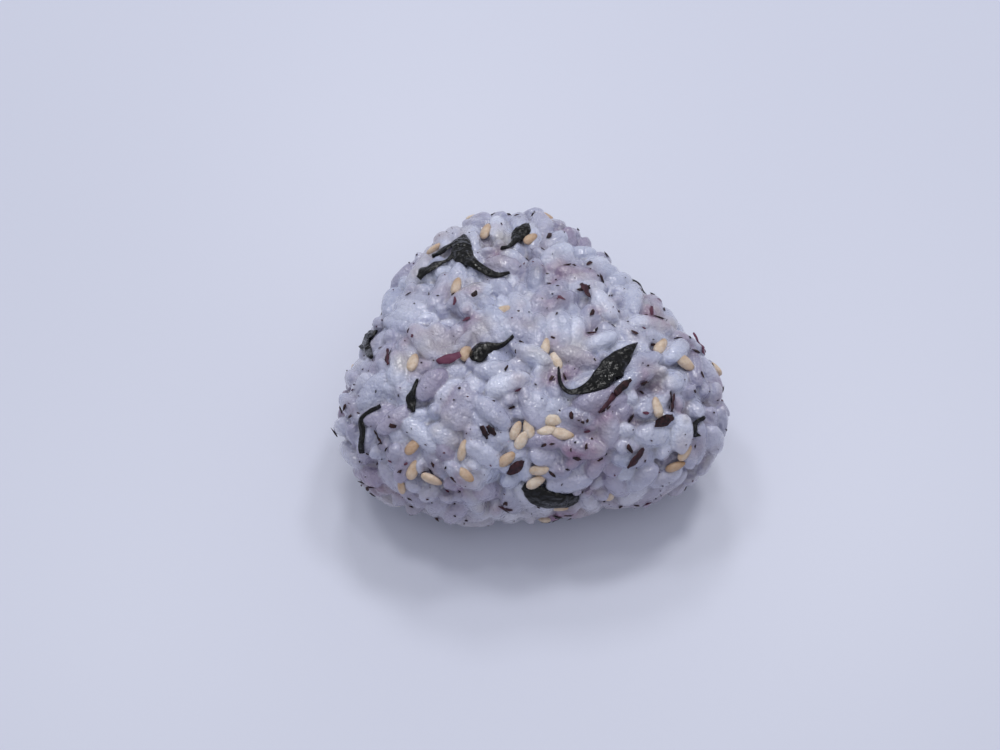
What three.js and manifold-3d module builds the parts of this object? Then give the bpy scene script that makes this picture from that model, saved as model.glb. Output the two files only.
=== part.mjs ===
// A triangular rice ball lying on its broad face: cooked short-grain rice pressed by hand into a
// rounded triangle, with toasted sesame seeds in it and pieces of black seaweed lying on it.
// Units are millimetres and degrees. +Z is up, the straight front side faces -Y, the apex points to +Y,
// and the origin is the middle of the base of the whole ball's box.

import * as THREE from "three";
import { MeshSurfaceSampler } from "three/addons/math/MeshSurfaceSampler.js";
import { mergeVertices } from "three/addons/utils/BufferGeometryUtils.js";
import Module from "manifold-3d";

const wasm = await Module();
wasm.setup();

// The pressed body, measured to the tops of its outermost grains.
const BODY_CENTRE = new THREE.Vector3(0.45, -5.03, 14);
const CROWN_HEIGHT = 16; // from the body's centre up to the crown
const BELLY_DEPTH = 17; // from the centre down, before the base is pressed flat at z = 0
const SIDES = [
  { facing: -90, reach: 21.7 }, // front side
  { facing: 33, reach: 25 }, // right side
  { facing: 151, reach: 27.4 }, // left side
];
const CORNER_POWER = 1.6; // how the sides round into one another at the three corners
const EDGE_POWER = 2.4; // how the sides round into the broad faces
const HAND_MARKS = [
  { lobes: 4, swell: 0.007, phase: 105 },
  { lobes: 5, swell: 0.006, phase: -43 },
  { lobes: 6, swell: 0.015, phase: -146 },
  { lobes: 7, swell: 0.009, phase: 170 },
];
const CORE_INSET = 1.1; // the packed core lies this far below the grain tops
const CORE_DETAIL = 5; // splits of each edge of the core's twenty-sided ball

// Rice grains that show on the surface.
const GRAIN = { length: 7.2, width: 3.4, thickness: 2.8, around: 6, along: 3 };
const GRAIN_COUNT = 194;
const GRAIN_TRIES = 80; // places tried for each grain, of which it takes the roomiest
const GRAIN_SINK = 0.2; // a grain's middle lies this far below the core's surface
const GRAIN_TILT = 9; // the most that a grain leans out of the surface
const GRAIN_SPREAD = 0.12; // how much grains differ in size
const BASE_CLEAR = 1.2; // no grain is set on the flat base below this height
const RANDOM_SEED = 7;

// Sesame seeds, set at [longitude, latitude, turn] about the body's centre.
const SEED = { length: 3.3, width: 2.0, thickness: 1.5, around: 5, along: 3 };
const SEED_LIFT = 0.55; // a seed's middle above the core's surface
const SEED_SPOTS = [
  [-175, 36, 80], [134, 43, 70], [124, 69, 10], [-53, 80, 110], [-50, 71, 100],
  [-105, 39, 80], [-98, 41, 30], [-102, 35, 95], [-82, 44, 170], [-88, 39, 5],
  [-127, 29, 70], [-122, 22, 150], [-107, 28, 20], [-92, 21, 5], [-35, 29, 95],
  [-5, 32, 60], [-40, 12, 40], [-64, 2, 20], [-141, 8, 80], [-139, 16, 100],
  [85, 36, 20], [122, 23, 30],
];
const FAR_SEED_COUNT = 14; // more seeds on the two far sides
const FAR_SEED_GAP = 7; // closest spacing of two far seeds
const FAR_SEED_FLOOR = 2.4; // the lowest that a far seed lies
const FAR_SEED_STEEP = 0.5; // the most that a far seed's place may face up, as the normal's height

// Seaweed pieces: a path of [longitude, latitude] points, and widths along it. A piece is widest at
// the share `widest` of its length and narrows to `thin` over the share `spread` on either side.
const LEAF_GAP = 0.35; // clear air between a piece and the core
const LEAF_THICKNESS = 0.6;
const LEAF_WAVE = 0.22; // how far the blade waves above its lowest lie
const LEAF_WAVES = 2.5; // waves along a piece
const LEAF_STATIONS = 10; // places along a piece where its section is set
const LEAF_ROOM = 0.35; // clear air between a piece and the grains beside it
const LEAVES = [
  {
    name: "seaweed_top_leaf",
    path: [[86, 28], [91, 34], [100, 41]],
    wide: 2.6, thin: 0.7, widest: 0.25, spread: 0.3,
  },
  {
    name: "seaweed_right_leaf",
    path: [[-9, 42], [-33, 50], [-54, 51], [-66, 53], [-69, 58], [-67, 62]],
    wide: 3.3, thin: 0.6, widest: 0.3, spread: 0.26,
  },
  {
    name: "seaweed_middle_leaf",
    path: [[179, 79], [-164, 72], [-164, 60]],
    wide: 2.6, thin: 0.6, widest: 0.85, spread: 0.35,
  },
  {
    name: "seaweed_left_curl",
    path: [[163, 20], [163, 14], [170, 17], [175, 22]],
    wide: 1.6, thin: 0.7, widest: 0.2, spread: 0.4,
  },
  {
    name: "seaweed_left_leaf",
    path: [[-163, 38], [-158, 33], [-152, 30]],
    wide: 1.7, thin: 0.5, widest: 0.55, spread: 0.35,
  },
  {
    name: "seaweed_left_strip",
    path: [[-161, 26], [-163, 20], [-159, 15], [-156, 10]],
    wide: 1.2, thin: 0.6, widest: 0.75, spread: 0.35,
  },
  {
    name: "seaweed_front_leaf",
    path: [[-98, 14], [-91, 11], [-78, 7]],
    wide: 2.8, thin: 0.9, widest: 0.6, spread: 0.4,
  },
  {
    name: "seaweed_corner_hook",
    path: [[-29, 19], [-32, 17], [-34, 14]],
    wide: 1.1, thin: 0.6, widest: 0.4, spread: 0.4,
  },
  {
    name: "seaweed_far_right_leaf",
    path: [[48, 4], [40, 10], [31, 9]],
    wide: 2.6, thin: 0.6, widest: 0.4, spread: 0.35,
  },
  {
    name: "seaweed_far_right_strip",
    path: [[12, -6], [17, -1], [24, -4]],
    wide: 1.3, thin: 0.6, widest: 0.5, spread: 0.4,
  },
  {
    name: "seaweed_far_left_leaf",
    path: [[128, -2], [136, 3], [146, 1]],
    wide: 2.4, thin: 0.6, widest: 0.5, spread: 0.35,
  },
  {
    name: "seaweed_far_left_strip",
    path: [[160, -8], [154, -4], [150, -9]],
    wide: 1.2, thin: 0.6, widest: 0.5, spread: 0.4,
  },
];
// The forked piece: two arms that leave one joint.
const FORK = {
  name: "seaweed_fork",
  arms: [
    {
      path: [[111, 28], [123, 26], [136, 26]],
      wide: 1.9, thin: 1.0, widest: 0.8, spread: 0.4,
    },
    {
      path: [[111, 27], [119, 35], [115, 47], [110, 52], [102, 52]],
      wide: 2.7, thin: 0.6, widest: 0.3, spread: 0.3,
    },
  ],
};

const RICE_COLOUR = 0xd9dbe8;
const SEAWEED_COLOUR = 0x15171b;

const WELD = 1e-4; // corners closer than this are one corner
const SLOPE_STEP = 0.01; // how far apart the surface is sampled to find which way it faces
const ROOM = 60; // half the side of a block larger than the whole ball

const radians = THREE.MathUtils.degToRad;
const random = seededRandom(RANDOM_SEED);

// A repeatable stream of numbers from 0 to 1.
function seededRandom(seed) {
  let state = seed;
  return () => {
    state = (state + 0x6d2b79f5) | 0;
    let mixed = Math.imul(state ^ (state >>> 15), 1 | state);
    mixed = (mixed + Math.imul(mixed ^ (mixed >>> 7), 61 | mixed)) ^ mixed;
    return ((mixed ^ (mixed >>> 14)) >>> 0) / 4294967296;
  };
}

// How many times v would have to shrink to lie on the body's surface, `inset` below the grain tops.
// The reaches towards the sides join by one power into a rounded triangle, the height by another.
function gauge(v, inset) {
  const angle = Math.atan2(v.y, v.x);
  let sum = 0;
  for (const side of SIDES) {
    const along = v.x * Math.cos(radians(side.facing)) + v.y * Math.sin(radians(side.facing));
    sum += Math.max(0, along / (side.reach - inset)) ** CORNER_POWER;
  }
  let swelling = 1;
  for (const { lobes, swell, phase } of HAND_MARKS) {
    swelling += swell * Math.cos(lobes * angle + radians(phase));
  }
  const plan = sum ** (1 / CORNER_POWER) / swelling;
  const height = v.z > 0 ? v.z / (CROWN_HEIGHT - inset) : -v.z / (BELLY_DEPTH - inset);
  return (plan ** EDGE_POWER + height ** EDGE_POWER) ** (1 / EDGE_POWER);
}

// The point on the core in a direction from the body's centre, raised by `lift`.
function onCore(direction, lift = 0) {
  const reach = 1 / gauge(direction, CORE_INSET);
  const point = direction.clone().multiplyScalar(reach);
  return point.add(outward(point).multiplyScalar(lift)).add(BODY_CENTRE);
}

// The core's outward normal at a point, measured from the body's centre, by small steps of the gauge.
function outward(point) {
  const slope = (axis) => {
    const ahead = point.clone().addScaledVector(axis, SLOPE_STEP);
    const behind = point.clone().addScaledVector(axis, -SLOPE_STEP);
    return gauge(ahead, CORE_INSET) - gauge(behind, CORE_INSET);
  };
  const axes = [[1, 0, 0], [0, 1, 0], [0, 0, 1]].map((a) => new THREE.Vector3(...a));
  return new THREE.Vector3(...axes.map(slope)).normalize();
}

function directionOf([longitude, latitude]) {
  return new THREE.Vector3(
    Math.cos(radians(latitude)) * Math.cos(radians(longitude)),
    Math.cos(radians(latitude)) * Math.sin(radians(longitude)),
    Math.sin(radians(latitude)),
  );
}

// A closed geometry as a solid that can be joined and cut.
function solidOf(geometry) {
  const bare = geometry.clone();
  bare.deleteAttribute("normal");
  bare.deleteAttribute("uv");
  const merged = mergeVertices(bare, WELD);
  const vertProperties = new Float32Array(merged.attributes.position.array);
  const triVerts = new Uint32Array(merged.index.array);
  return new wasm.Manifold(new wasm.Mesh({ numProp: 3, vertProperties, triVerts }));
}

// The largest body of a solid as a geometry, without loose scraps or sealed hollows.
function geometryOf(solid) {
  const largest = solid.decompose().reduce((a, b) => (b.volume() > a.volume() ? b : a));
  const { vertProperties, triVerts } = largest.getMesh();
  const geometry = new THREE.BufferGeometry();
  geometry.setAttribute("position", new THREE.BufferAttribute(vertProperties, 3));
  geometry.setIndex(new THREE.BufferAttribute(triVerts, 1));
  geometry.computeVertexNormals();
  return geometry;
}

// The packed core: a ball of triangles pushed out to the body's surface.
function coreGeometry() {
  const geometry = new THREE.IcosahedronGeometry(1, CORE_DETAIL);
  const place = geometry.attributes.position;
  const direction = new THREE.Vector3();
  for (let i = 0; i < place.count; i += 1) {
    const point = onCore(direction.fromBufferAttribute(place, i).normalize());
    place.setXYZ(i, point.x, point.y, point.z);
  }
  return geometry;
}

// A rounded pip lying along X, with its broad sides up and down: a rice grain or a seed.
function pipGeometry(size, scale) {
  const geometry = new THREE.SphereGeometry(0.5, size.around, size.along);
  geometry.rotateZ(Math.PI / 2);
  return geometry.scale(size.length * scale, size.width * scale, size.thickness * scale);
}

// A frame at `point` whose Z is `normal` and whose X lies in the surface, turned and leaning as asked.
function lyingAt(point, normal, turn, lean) {
  const level = new THREE.Quaternion().setFromUnitVectors(new THREE.Vector3(0, 0, 1), normal);
  const angles = new THREE.Euler(0, radians(lean), radians(turn), "ZYX");
  const spin = new THREE.Quaternion().setFromEuler(angles);
  return new THREE.Matrix4().compose(point, level.multiply(spin), new THREE.Vector3(1, 1, 1));
}

// Points along a grain's middle line that stand for it when its room is tested.
function middlePoints(matrix, length, width) {
  const end = (length - width) / 2;
  return [-end, 0, end].map((x) => new THREE.Vector3(x, 0, 0).applyMatrix4(matrix));
}

// A seaweed piece's path on the core, as evenly spaced stations with the piece's half width at each.
function leafStations(leaf) {
  const curve = new THREE.CatmullRomCurve3(leaf.path.map((spot) => directionOf(spot)));
  return Array.from({ length: LEAF_STATIONS }, (_, i) => {
    const share = i / (LEAF_STATIONS - 1);
    const swell = Math.exp(-(((share - leaf.widest) / leaf.spread) ** 2));
    const halfWidth = (leaf.thin + (leaf.wide - leaf.thin) * swell) / 2;
    const direction = curve.getPointAt(share);
    return { share, halfWidth, direction, heading: curve.getTangentAt(share) };
  });
}

// A thin wavy blade draped over the core: three rows of points on each face, closed along every edge.
function leafGeometry(leaf) {
  const stations = leafStations(leaf);
  const rows = [-1, 0, 1];
  const corners = [];
  for (const station of stations) {
    const middle = onCore(station.direction).sub(BODY_CENTRE);
    const across = new THREE.Vector3().crossVectors(outward(middle), station.heading).normalize();
    for (const face of [0, 1]) {
      for (const row of rows) {
        const turn = 2 * Math.PI * LEAF_WAVES * station.share + 2 * row;
        const wave = LEAF_WAVE * (1 + Math.sin(turn));
        const lift = LEAF_GAP + wave + face * LEAF_THICKNESS;
        corners.push(onCore(middle.clone().addScaledVector(across, row * station.halfWidth), lift));
      }
    }
  }
  const perStation = 2 * rows.length;
  const index = [];
  const quad = (a, b, c, d) => index.push(a, b, c, a, c, d);
  for (let i = 0; i + 1 < stations.length; i += 1) {
    const here = i * perStation;
    const next = here + perStation;
    for (const row of [0, 1]) {
      quad(here + row, here + row + 1, next + row + 1, next + row);
      quad(here + row + 3, next + row + 3, next + row + 4, here + row + 4);
    }
    quad(here, next, next + 3, here + 3);
    quad(here + 2, here + 5, next + 5, next + 2);
  }
  const last = (stations.length - 1) * perStation;
  for (const row of [0, 1]) {
    quad(row, row + 3, row + 4, row + 1);
    quad(last + row, last + row + 1, last + row + 4, last + row + 3);
  }
  const geometry = new THREE.BufferGeometry();
  const places = corners.flatMap((corner) => corner.toArray());
  geometry.setAttribute("position", new THREE.Float32BufferAttribute(places, 3));
  geometry.setIndex(index);
  geometry.computeVertexNormals();
  return geometry;
}

// Everything that grains have to keep clear of: points on the seaweed with the room that each needs.
function leafRoom(leaves) {
  return leaves.flatMap((leaf) =>
    leafStations(leaf).map(({ direction, halfWidth }) => ({
      point: onCore(direction, LEAF_GAP + LEAF_THICKNESS / 2),
      room: halfWidth + LEAF_ROOM,
    })),
  );
}

// A grain at a random place on the core, or nothing where it would lie on the base or touch seaweed.
function randomGrain(sampler, keepClear) {
  const point = new THREE.Vector3();
  const normal = new THREE.Vector3();
  sampler.sample(point, normal);
  const turn = 360 * random();
  const lean = GRAIN_TILT * (2 * random() - 1);
  const scale = 1 + GRAIN_SPREAD * (2 * random() - 1);
  const matrix = lyingAt(point.clone().addScaledVector(normal, -GRAIN_SINK), normal, turn, lean);
  const middles = middlePoints(matrix, GRAIN.length * scale, GRAIN.width * scale);
  const radius = (GRAIN.width * scale) / 2;
  const near = (leaf) => middles.some((m) => m.distanceTo(leaf.point) < leaf.room + radius);
  return point.z < BASE_CLEAR || keepClear.some(near) ? null : { middles, radius, matrix, scale };
}

// The clear air between a grain and the closest of the others, which is negative where they overlap.
function roomBeside(grain, others) {
  let room = Infinity;
  for (const other of others) {
    for (const a of grain.middles) {
      for (const b of other.middles) room = Math.min(room, a.distanceTo(b) - grain.radius - other.radius);
    }
  }
  return room;
}

// Grains set one by one: each takes the roomiest of several random places, so they spread evenly.
function riceGrains(core, keepClear) {
  const sampler = new MeshSurfaceSampler(new THREE.Mesh(core)).setRandomGenerator(random).build();
  const kept = [];
  while (kept.length < GRAIN_COUNT) {
    let roomiest = { room: -Infinity };
    for (let tries = 0; tries < GRAIN_TRIES; tries += 1) {
      const grain = randomGrain(sampler, keepClear);
      if (!grain) continue;
      const room = roomBeside(grain, kept);
      if (room > roomiest.room) roomiest = { ...grain, room };
    }
    kept.push(roomiest);
  }
  return kept.map(({ scale, matrix }) => solidOf(pipGeometry(GRAIN, scale).applyMatrix4(matrix)));
}

function seedSolid(point, normal, turn) {
  const seat = point.clone().addScaledVector(normal, SEED_LIFT);
  return solidOf(pipGeometry(SEED, 1).applyMatrix4(lyingAt(seat, normal, turn, 0)));
}

// The seeds at their spots, and more spread evenly over the two far sides.
function sesameSeeds(core, keepClear) {
  const solids = SEED_SPOTS.map(([longitude, latitude, turn]) => {
    const point = onCore(directionOf([longitude, latitude]));
    return seedSolid(point, outward(point.clone().sub(BODY_CENTRE)), turn);
  });
  const sampler = new MeshSurfaceSampler(new THREE.Mesh(core)).setRandomGenerator(random).build();
  const placed = [];
  const point = new THREE.Vector3();
  const normal = new THREE.Vector3();
  while (placed.length < FAR_SEED_COUNT) {
    sampler.sample(point, normal);
    const onFarSide = normal.y > 0 && normal.z < FAR_SEED_STEEP && point.z > FAR_SEED_FLOOR;
    const crowded = placed.some((other) => other.distanceTo(point) < FAR_SEED_GAP);
    const nearLeaf = keepClear.some((leaf) => leaf.point.distanceTo(point) < leaf.room + SEED.length);
    if (!onFarSide || crowded || nearLeaf) continue;
    placed.push(point.clone());
    solids.push(seedSolid(point, normal, 360 * random()));
  }
  return solids;
}

// The whole heap: core, grains and seeds fused, and pressed flat where it rests.
function riceBallGeometry(keepClear) {
  const core = coreGeometry();
  const aboveBase = new THREE.BoxGeometry(2 * ROOM, 2 * ROOM, ROOM).translate(0, 0, ROOM / 2);
  const pieces = [...riceGrains(core, keepClear), ...sesameSeeds(core, keepClear)];
  const heap = pieces.reduce((sum, piece) => sum.add(piece), solidOf(core));
  return geometryOf(heap.intersect(solidOf(aboveBase)));
}

function forkGeometry() {
  const [arm, blade] = FORK.arms.map((strip) => solidOf(leafGeometry(strip)));
  return geometryOf(arm.add(blade));
}

function named(name, geometry, material) {
  const mesh = new THREE.Mesh(geometry, material);
  mesh.name = name;
  return mesh;
}

const rice = new THREE.MeshStandardMaterial({ color: RICE_COLOUR, roughness: 0.45, metalness: 0 });
const seaweed = new THREE.MeshStandardMaterial({ color: SEAWEED_COLOUR, roughness: 0.3, metalness: 0 });

const riceBall = new THREE.Group();
riceBall.add(named("rice_ball", riceBallGeometry(leafRoom([...LEAVES, ...FORK.arms])), rice));
riceBall.add(named(FORK.name, forkGeometry(), seaweed));
for (const leaf of LEAVES) riceBall.add(named(leaf.name, leafGeometry(leaf), seaweed));

export default riceBall;
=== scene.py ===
# %% [markdown]
# # A rice ball, grain by grain
#
# The real thing is cooked short-grain rice pressed by hand into a rounded triangle. Sesame seeds, dried
# red leaf flakes and pieces of black seaweed are mixed in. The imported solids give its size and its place.
# This lesson dresses them: it packs true-size grains, lets them stick together, and strews the rest on top.

# %% Load the frame
import math

import bmesh
import bpy
import numpy as np
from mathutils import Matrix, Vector


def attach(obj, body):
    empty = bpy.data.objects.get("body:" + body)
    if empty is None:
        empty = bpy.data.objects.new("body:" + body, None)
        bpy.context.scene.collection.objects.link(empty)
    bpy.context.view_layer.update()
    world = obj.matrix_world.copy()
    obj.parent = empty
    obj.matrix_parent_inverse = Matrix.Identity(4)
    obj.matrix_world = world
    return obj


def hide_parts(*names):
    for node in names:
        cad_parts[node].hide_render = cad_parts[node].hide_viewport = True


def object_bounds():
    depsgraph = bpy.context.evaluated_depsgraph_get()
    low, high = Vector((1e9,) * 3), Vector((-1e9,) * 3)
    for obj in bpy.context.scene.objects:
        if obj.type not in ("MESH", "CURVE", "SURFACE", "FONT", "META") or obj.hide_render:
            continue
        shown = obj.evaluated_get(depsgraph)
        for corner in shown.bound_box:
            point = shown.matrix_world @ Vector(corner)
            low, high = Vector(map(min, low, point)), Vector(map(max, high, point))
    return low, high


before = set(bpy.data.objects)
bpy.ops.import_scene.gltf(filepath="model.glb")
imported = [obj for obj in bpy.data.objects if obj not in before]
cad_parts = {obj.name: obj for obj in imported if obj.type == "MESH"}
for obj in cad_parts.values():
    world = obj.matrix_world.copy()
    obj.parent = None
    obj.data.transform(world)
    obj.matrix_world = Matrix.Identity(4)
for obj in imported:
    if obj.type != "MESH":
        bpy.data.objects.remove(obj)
cad_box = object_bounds()
MM = 0.001  # lengths below are in millimetres, and Blender's are in metres
random = np.random.default_rng(20)
print("frame:", len(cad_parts), "nodes, box in mm", [round(x / MM, 1) for x in cad_box[1] - cad_box[0]])

# %% [markdown]
# ## The camera
#
# The camera comes first, because some grains, seeds and leaves are placed by the pixel where they show.
# A camera could be matched by eye in the viewport. Here its angle, distance and field of view are named
# values, so a ray through any pixel is a line of arithmetic.

# %% Camera
PHOTO_SIZE = np.array([1000.0, 750.0])
FIELD_OF_VIEW = 35.0
CAMERA_TURN = -5.7
CAMERA_RISE = 59.0
CAMERA_DISTANCE = 267.0
LOOK_AT = np.array([-3.27, 5.96, 0.0])

turn = math.radians(CAMERA_TURN)
rise = math.radians(CAMERA_RISE)
CAMERA_BACK = np.array([math.sin(turn) * math.cos(rise), -math.cos(turn) * math.cos(rise), math.sin(rise)])
CAMERA_RIGHT = np.array([math.cos(turn), math.sin(turn), 0.0])
CAMERA_UP = np.cross(CAMERA_BACK, CAMERA_RIGHT)
CAMERA_PLACE = LOOK_AT + CAMERA_DISTANCE * CAMERA_BACK
FOCAL_PIXELS = PHOTO_SIZE[0] / 2 / math.tan(math.radians(FIELD_OF_VIEW) / 2)

camera = bpy.data.objects.new("camera", bpy.data.cameras.new("camera"))
camera.data.sensor_fit = "HORIZONTAL"
camera.data.angle = math.radians(FIELD_OF_VIEW)
camera.data.clip_start = 0.01
camera.data.clip_end = 10.0
camera.location = CAMERA_PLACE * MM
camera.rotation_euler = Vector(-CAMERA_BACK).to_track_quat("-Z", "Y").to_euler()
bpy.context.scene.collection.objects.link(camera)
bpy.context.scene.camera = camera
print("camera at", [round(x, 1) for x in CAMERA_PLACE], "mm, lens", round(camera.data.lens, 2), "mm")


# %% [markdown]
# ## The pressed body
#
# Hands press the rice into three flattish sides, a domed top and round edges. Such a form could be sculpted.
# A formula is better here, because everything below asks it how far away the surface is. It is a gauge:
# a number that is 1 on the surface, less inside and more outside.

# %% Body
BODY_CENTRE = np.array([0.45, -5.03, 14.0])
CROWN_HEIGHT = 16.0
BELLY_DEPTH = 17.0
SIDES = [(-90.0, 21.7), (33.0, 25.0), (151.0, 27.4)]  # which way each side faces, and its reach
CORNER_POWER = 1.6
EDGE_POWER = 2.4
HAND_MARKS = [(4, 0.007, 105.0), (5, 0.006, -43.0), (6, 0.015, -146.0), (7, 0.009, 170.0)]
SLOPE_STEP = 0.01
RAY_SPAN = 45.0  # a ray is searched this far before and behind the point that the camera looks at
RAY_STEPS = 400


def gauge(v, inset=0.0):
    """How far out points v from the body's centre lie: 1 on the surface `inset` below the grain tops.

    The reaches towards the three sides join by one power into a rounded triangle, which the hand's marks
    swell a little, and the height joins it by another power. The powers are float_power, because the last
    digit of numpy's ** can differ from run to run, and the packing would make it grow.
    """
    angle = np.arctan2(v[..., 1], v[..., 0])
    plan = np.zeros(v.shape[:-1])
    for facing, reach in SIDES:
        along = v[..., 0] * math.cos(math.radians(facing)) + v[..., 1] * math.sin(math.radians(facing))
        plan = plan + np.float_power(np.maximum(0.0, along / (reach - inset)), CORNER_POWER)
    swelling = np.ones_like(plan)
    for lobes, swell, phase in HAND_MARKS:
        swelling = swelling + swell * np.cos(lobes * angle + math.radians(phase))
    plan = np.float_power(plan, 1 / CORNER_POWER) / swelling
    height = np.where(v[..., 2] > 0, v[..., 2] / (CROWN_HEIGHT - inset), -v[..., 2] / (BELLY_DEPTH - inset))
    joined = np.float_power(plan, EDGE_POWER) + np.float_power(height, EDGE_POWER)
    return np.float_power(joined, 1 / EDGE_POWER)


def unit(v):
    """Vectors of length 1 along v."""
    return v / np.maximum(np.linalg.norm(v, axis=-1, keepdims=True), 1e-9)


def outward(points):
    """The direction in which the gauge rises fastest at points, by small steps along each axis."""
    v = points - BODY_CENTRE
    steps = SLOPE_STEP * np.eye(3)
    slope = [gauge(v + step) - gauge(v - step) for step in steps]
    return unit(np.stack(slope, axis=-1))


def on_body(directions, inset=0.0):
    """The surface point in each direction from the centre: the direction divided by its own gauge."""
    return BODY_CENTRE + directions / gauge(directions, inset)[..., None]


def globe(lon, lat):
    """Unit directions for longitudes and latitudes in radians."""
    return np.stack([np.cos(lat) * np.cos(lon), np.cos(lat) * np.sin(lon), np.sin(lat) + 0 * lon], axis=-1)


def cast(pixels, inset=0.0):
    """Where the camera's rays through pixels first meet the body, `inset` below the grain tops.

    Every ray is stepped through, the first step inside is kept, or the closest one where the ray misses,
    and that point slides along its own direction from the centre onto the surface.
    """
    offset = (np.asarray(pixels, float) - PHOTO_SIZE / 2) / FOCAL_PIXELS
    ray = unit(-CAMERA_BACK + offset[:, :1] * CAMERA_RIGHT - offset[:, 1:] * CAMERA_UP)
    reach = CAMERA_DISTANCE + np.linspace(-RAY_SPAN, RAY_SPAN, RAY_STEPS)
    points = CAMERA_PLACE + reach[:, None, None] * ray
    level = gauge(points - BODY_CENTRE, inset)
    inside = level <= 1
    first = np.where(inside.any(axis=0), inside.argmax(axis=0), level.argmin(axis=0))
    return on_body(unit(points[first, np.arange(len(ray))] - BODY_CENTRE), inset)


print("crown at", round(float(on_body(np.array([[0.0, 0.0, 1.0]]))[0, 2]), 2), "mm")

# %% [markdown]
# ## What lies on the surface
#
# Seeds and seaweed were pressed in together with the rice, so the grains had to make room for them. Their
# places are read from the photo, as pixels, and the far side gets about as many by a rule.

# %% Places of seeds and leaves
SEED_LENGTH = 3.3
SEED_WIDTH = 1.85
SEED_THICKNESS = 1.3
SEEN_SEEDS = [  # pixel x, y, the angle of the long axis in the picture, and how toasted the seed is
    (409, 360, 90, 0.1), (453.5, 282, 80, 0.25), (505, 307, 25, 0.25), (545.4, 345, 75, 0.1),
    (557.3, 358.5, -70, 0.0), (515.6, 431.7, 65, 0.1), (528.6, 429.5, 100, 0.1), (521.6, 441.4, 60, 0.0),
    (554, 420.3, -5, 0.0), (548, 431.7, 8, 0.0), (563.8, 434.9, -10, 0.2), (460.9, 452.1, 75, 0.2),
    (464.7, 476, -35, 0.5), (507, 461.9, 35, 0.5), (541.3, 473.8, 0, 0.2), (536.4, 485.7, 30, 0.1),
    (662.4, 407.5, 100, 0.1), (666, 343, 55, 0.2), (690, 361.4, -30, 0.3), (690, 455.8, 40, 0.4),
    (612.3, 499.8, 90, 0.2), (409.4, 472.7, 70, 0.4), (397.5, 490, 75, 0.5), (428.4, 483.5, -30, 0.3),
    (463.4, 349.3, 80, 0.5), (484.3, 226, 85, 0.4), (430.5, 243.4, 20, 0.3), (530.8, 232.5, 60, 0.6),
    (560, 512.8, 0, 0.3), (409.5, 447.5, 47, 0.7), (680, 470.5, 20, 0.7),
]
SEED_DEPTH = 0.5  # a seed's place is sought this far below the outermost grain tops
SEED_FLOOR = 1.5  # no seed on the far side lies lower
FAR_SEED_COUNT = 26
FAR_SEED_GAP = 6.5
FACES_CAMERA = 0.05  # a surface that leans to the camera by more than this is seen


def far_spots(count, gap):
    """Evenly strewn points on the sides that the camera doesn't see: random ones, kept if none is near."""
    kept = np.zeros((0, 3))
    while len(kept) < count:
        v = unit(random.normal(size=3))
        point = on_body(v)
        seen = outward(point[None])[0] @ CAMERA_BACK > FACES_CAMERA
        near = len(kept) and np.linalg.norm(kept - point, axis=1).min() < gap
        if not seen and not near and point[2] > SEED_FLOOR:
            kept = np.vstack([kept, point])
    return kept


def upright(v, normals):
    """The part of vectors v that points along the normals: the normal times their product."""
    return (v * normals).sum(axis=1, keepdims=True) * normals


def in_picture(points, angles):
    """Directions along the surface at points that show at the given angles in the picture."""
    a = np.radians(angles)[:, None]
    flat = np.cos(a) * CAMERA_RIGHT + np.sin(a) * CAMERA_UP
    return unit(flat - upright(flat, outward(points)))


seen_seeds = np.array(SEEN_SEEDS)
seed_places = np.vstack([cast(seen_seeds[:, :2], SEED_DEPTH), far_spots(FAR_SEED_COUNT, FAR_SEED_GAP)])
seed_angles = np.concatenate([seen_seeds[:, 2], random.uniform(0, 180, FAR_SEED_COUNT)])
seed_axes = in_picture(seed_places, seed_angles)
print(len(seed_places), "sesame seeds,", FAR_SEED_COUNT, "of them on the far side")

# %% [markdown]
# ## Seaweed paths
#
# Each seaweed piece is a narrow leaf that lies along a path. The path needs only a few points; a smooth
# curve through them gives the rest.

# %% Leaf paths
LEAVES = {  # node: pixels along the piece, and its width at even steps along it
    "seaweed_top_leaf": (
        [(526, 219), (520, 227), (515, 236), (509, 243), (502, 249)],
        [1.2, 3.0, 2.6, 1.0, 0.7, 0.9],
    ),
    "seaweed_right_leaf": (
        [(639, 342), (621, 359), (603, 377), (587, 388), (570, 392), (561, 383), (558, 367)],
        [0.3, 2.0, 3.2, 3.7, 3.1, 1.5, 0.8, 0.7, 0.3],
    ),
    "seaweed_middle_leaf": (
        [(513, 335), (502, 343), (489, 346), (479, 350), (476, 361)],
        [0.4, 0.7, 1.1, 2.2, 3.2, 1.4],
    ),
    "seaweed_left_curl": ([(373, 332), (365, 338), (364, 348), (371, 357)], [1.2, 2.3, 2.1, 1.5, 0.8]),
    "seaweed_left_leaf": ([(419, 379), (412, 390), (407, 400), (410, 413)], [0.5, 1.3, 1.7, 1.5, 0.7]),
    "seaweed_left_strip": (
        [(378, 406), (366, 412), (359, 421), (358, 438), (357, 455)],
        [0.6, 0.8, 0.9, 1.2, 1.3, 0.6],
    ),
    "seaweed_front_leaf": ([(523, 490), (537, 496), (556, 501), (579, 502)], [1.0, 3.2, 4.6, 4.7, 4.0, 1.6]),
    "seaweed_corner_hook": ([(709, 418), (703, 424), (700, 431), (703, 438)], [0.6, 1.0, 1.1, 0.7]),
}
FORK = {  # the three strips of the forked piece
    "fork_upper_arm": ([(463, 232), (450, 240), (438, 247), (432, 255)], [0.9, 1.5, 1.6, 0.8]),
    "fork_lower_arm": (
        [(459, 246), (447, 254), (436, 261), (426, 268), (416, 276)],
        [0.6, 0.8, 0.9, 2.0, 2.4, 1.0],
    ),
    "fork_blade": (
        [(461, 234), (460, 249), (468, 258), (484, 268), (497, 275), (509, 270)],
        [1.6, 3.4, 3.3, 2.2, 1.6, 1.2, 0.4],
    ),
}
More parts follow.
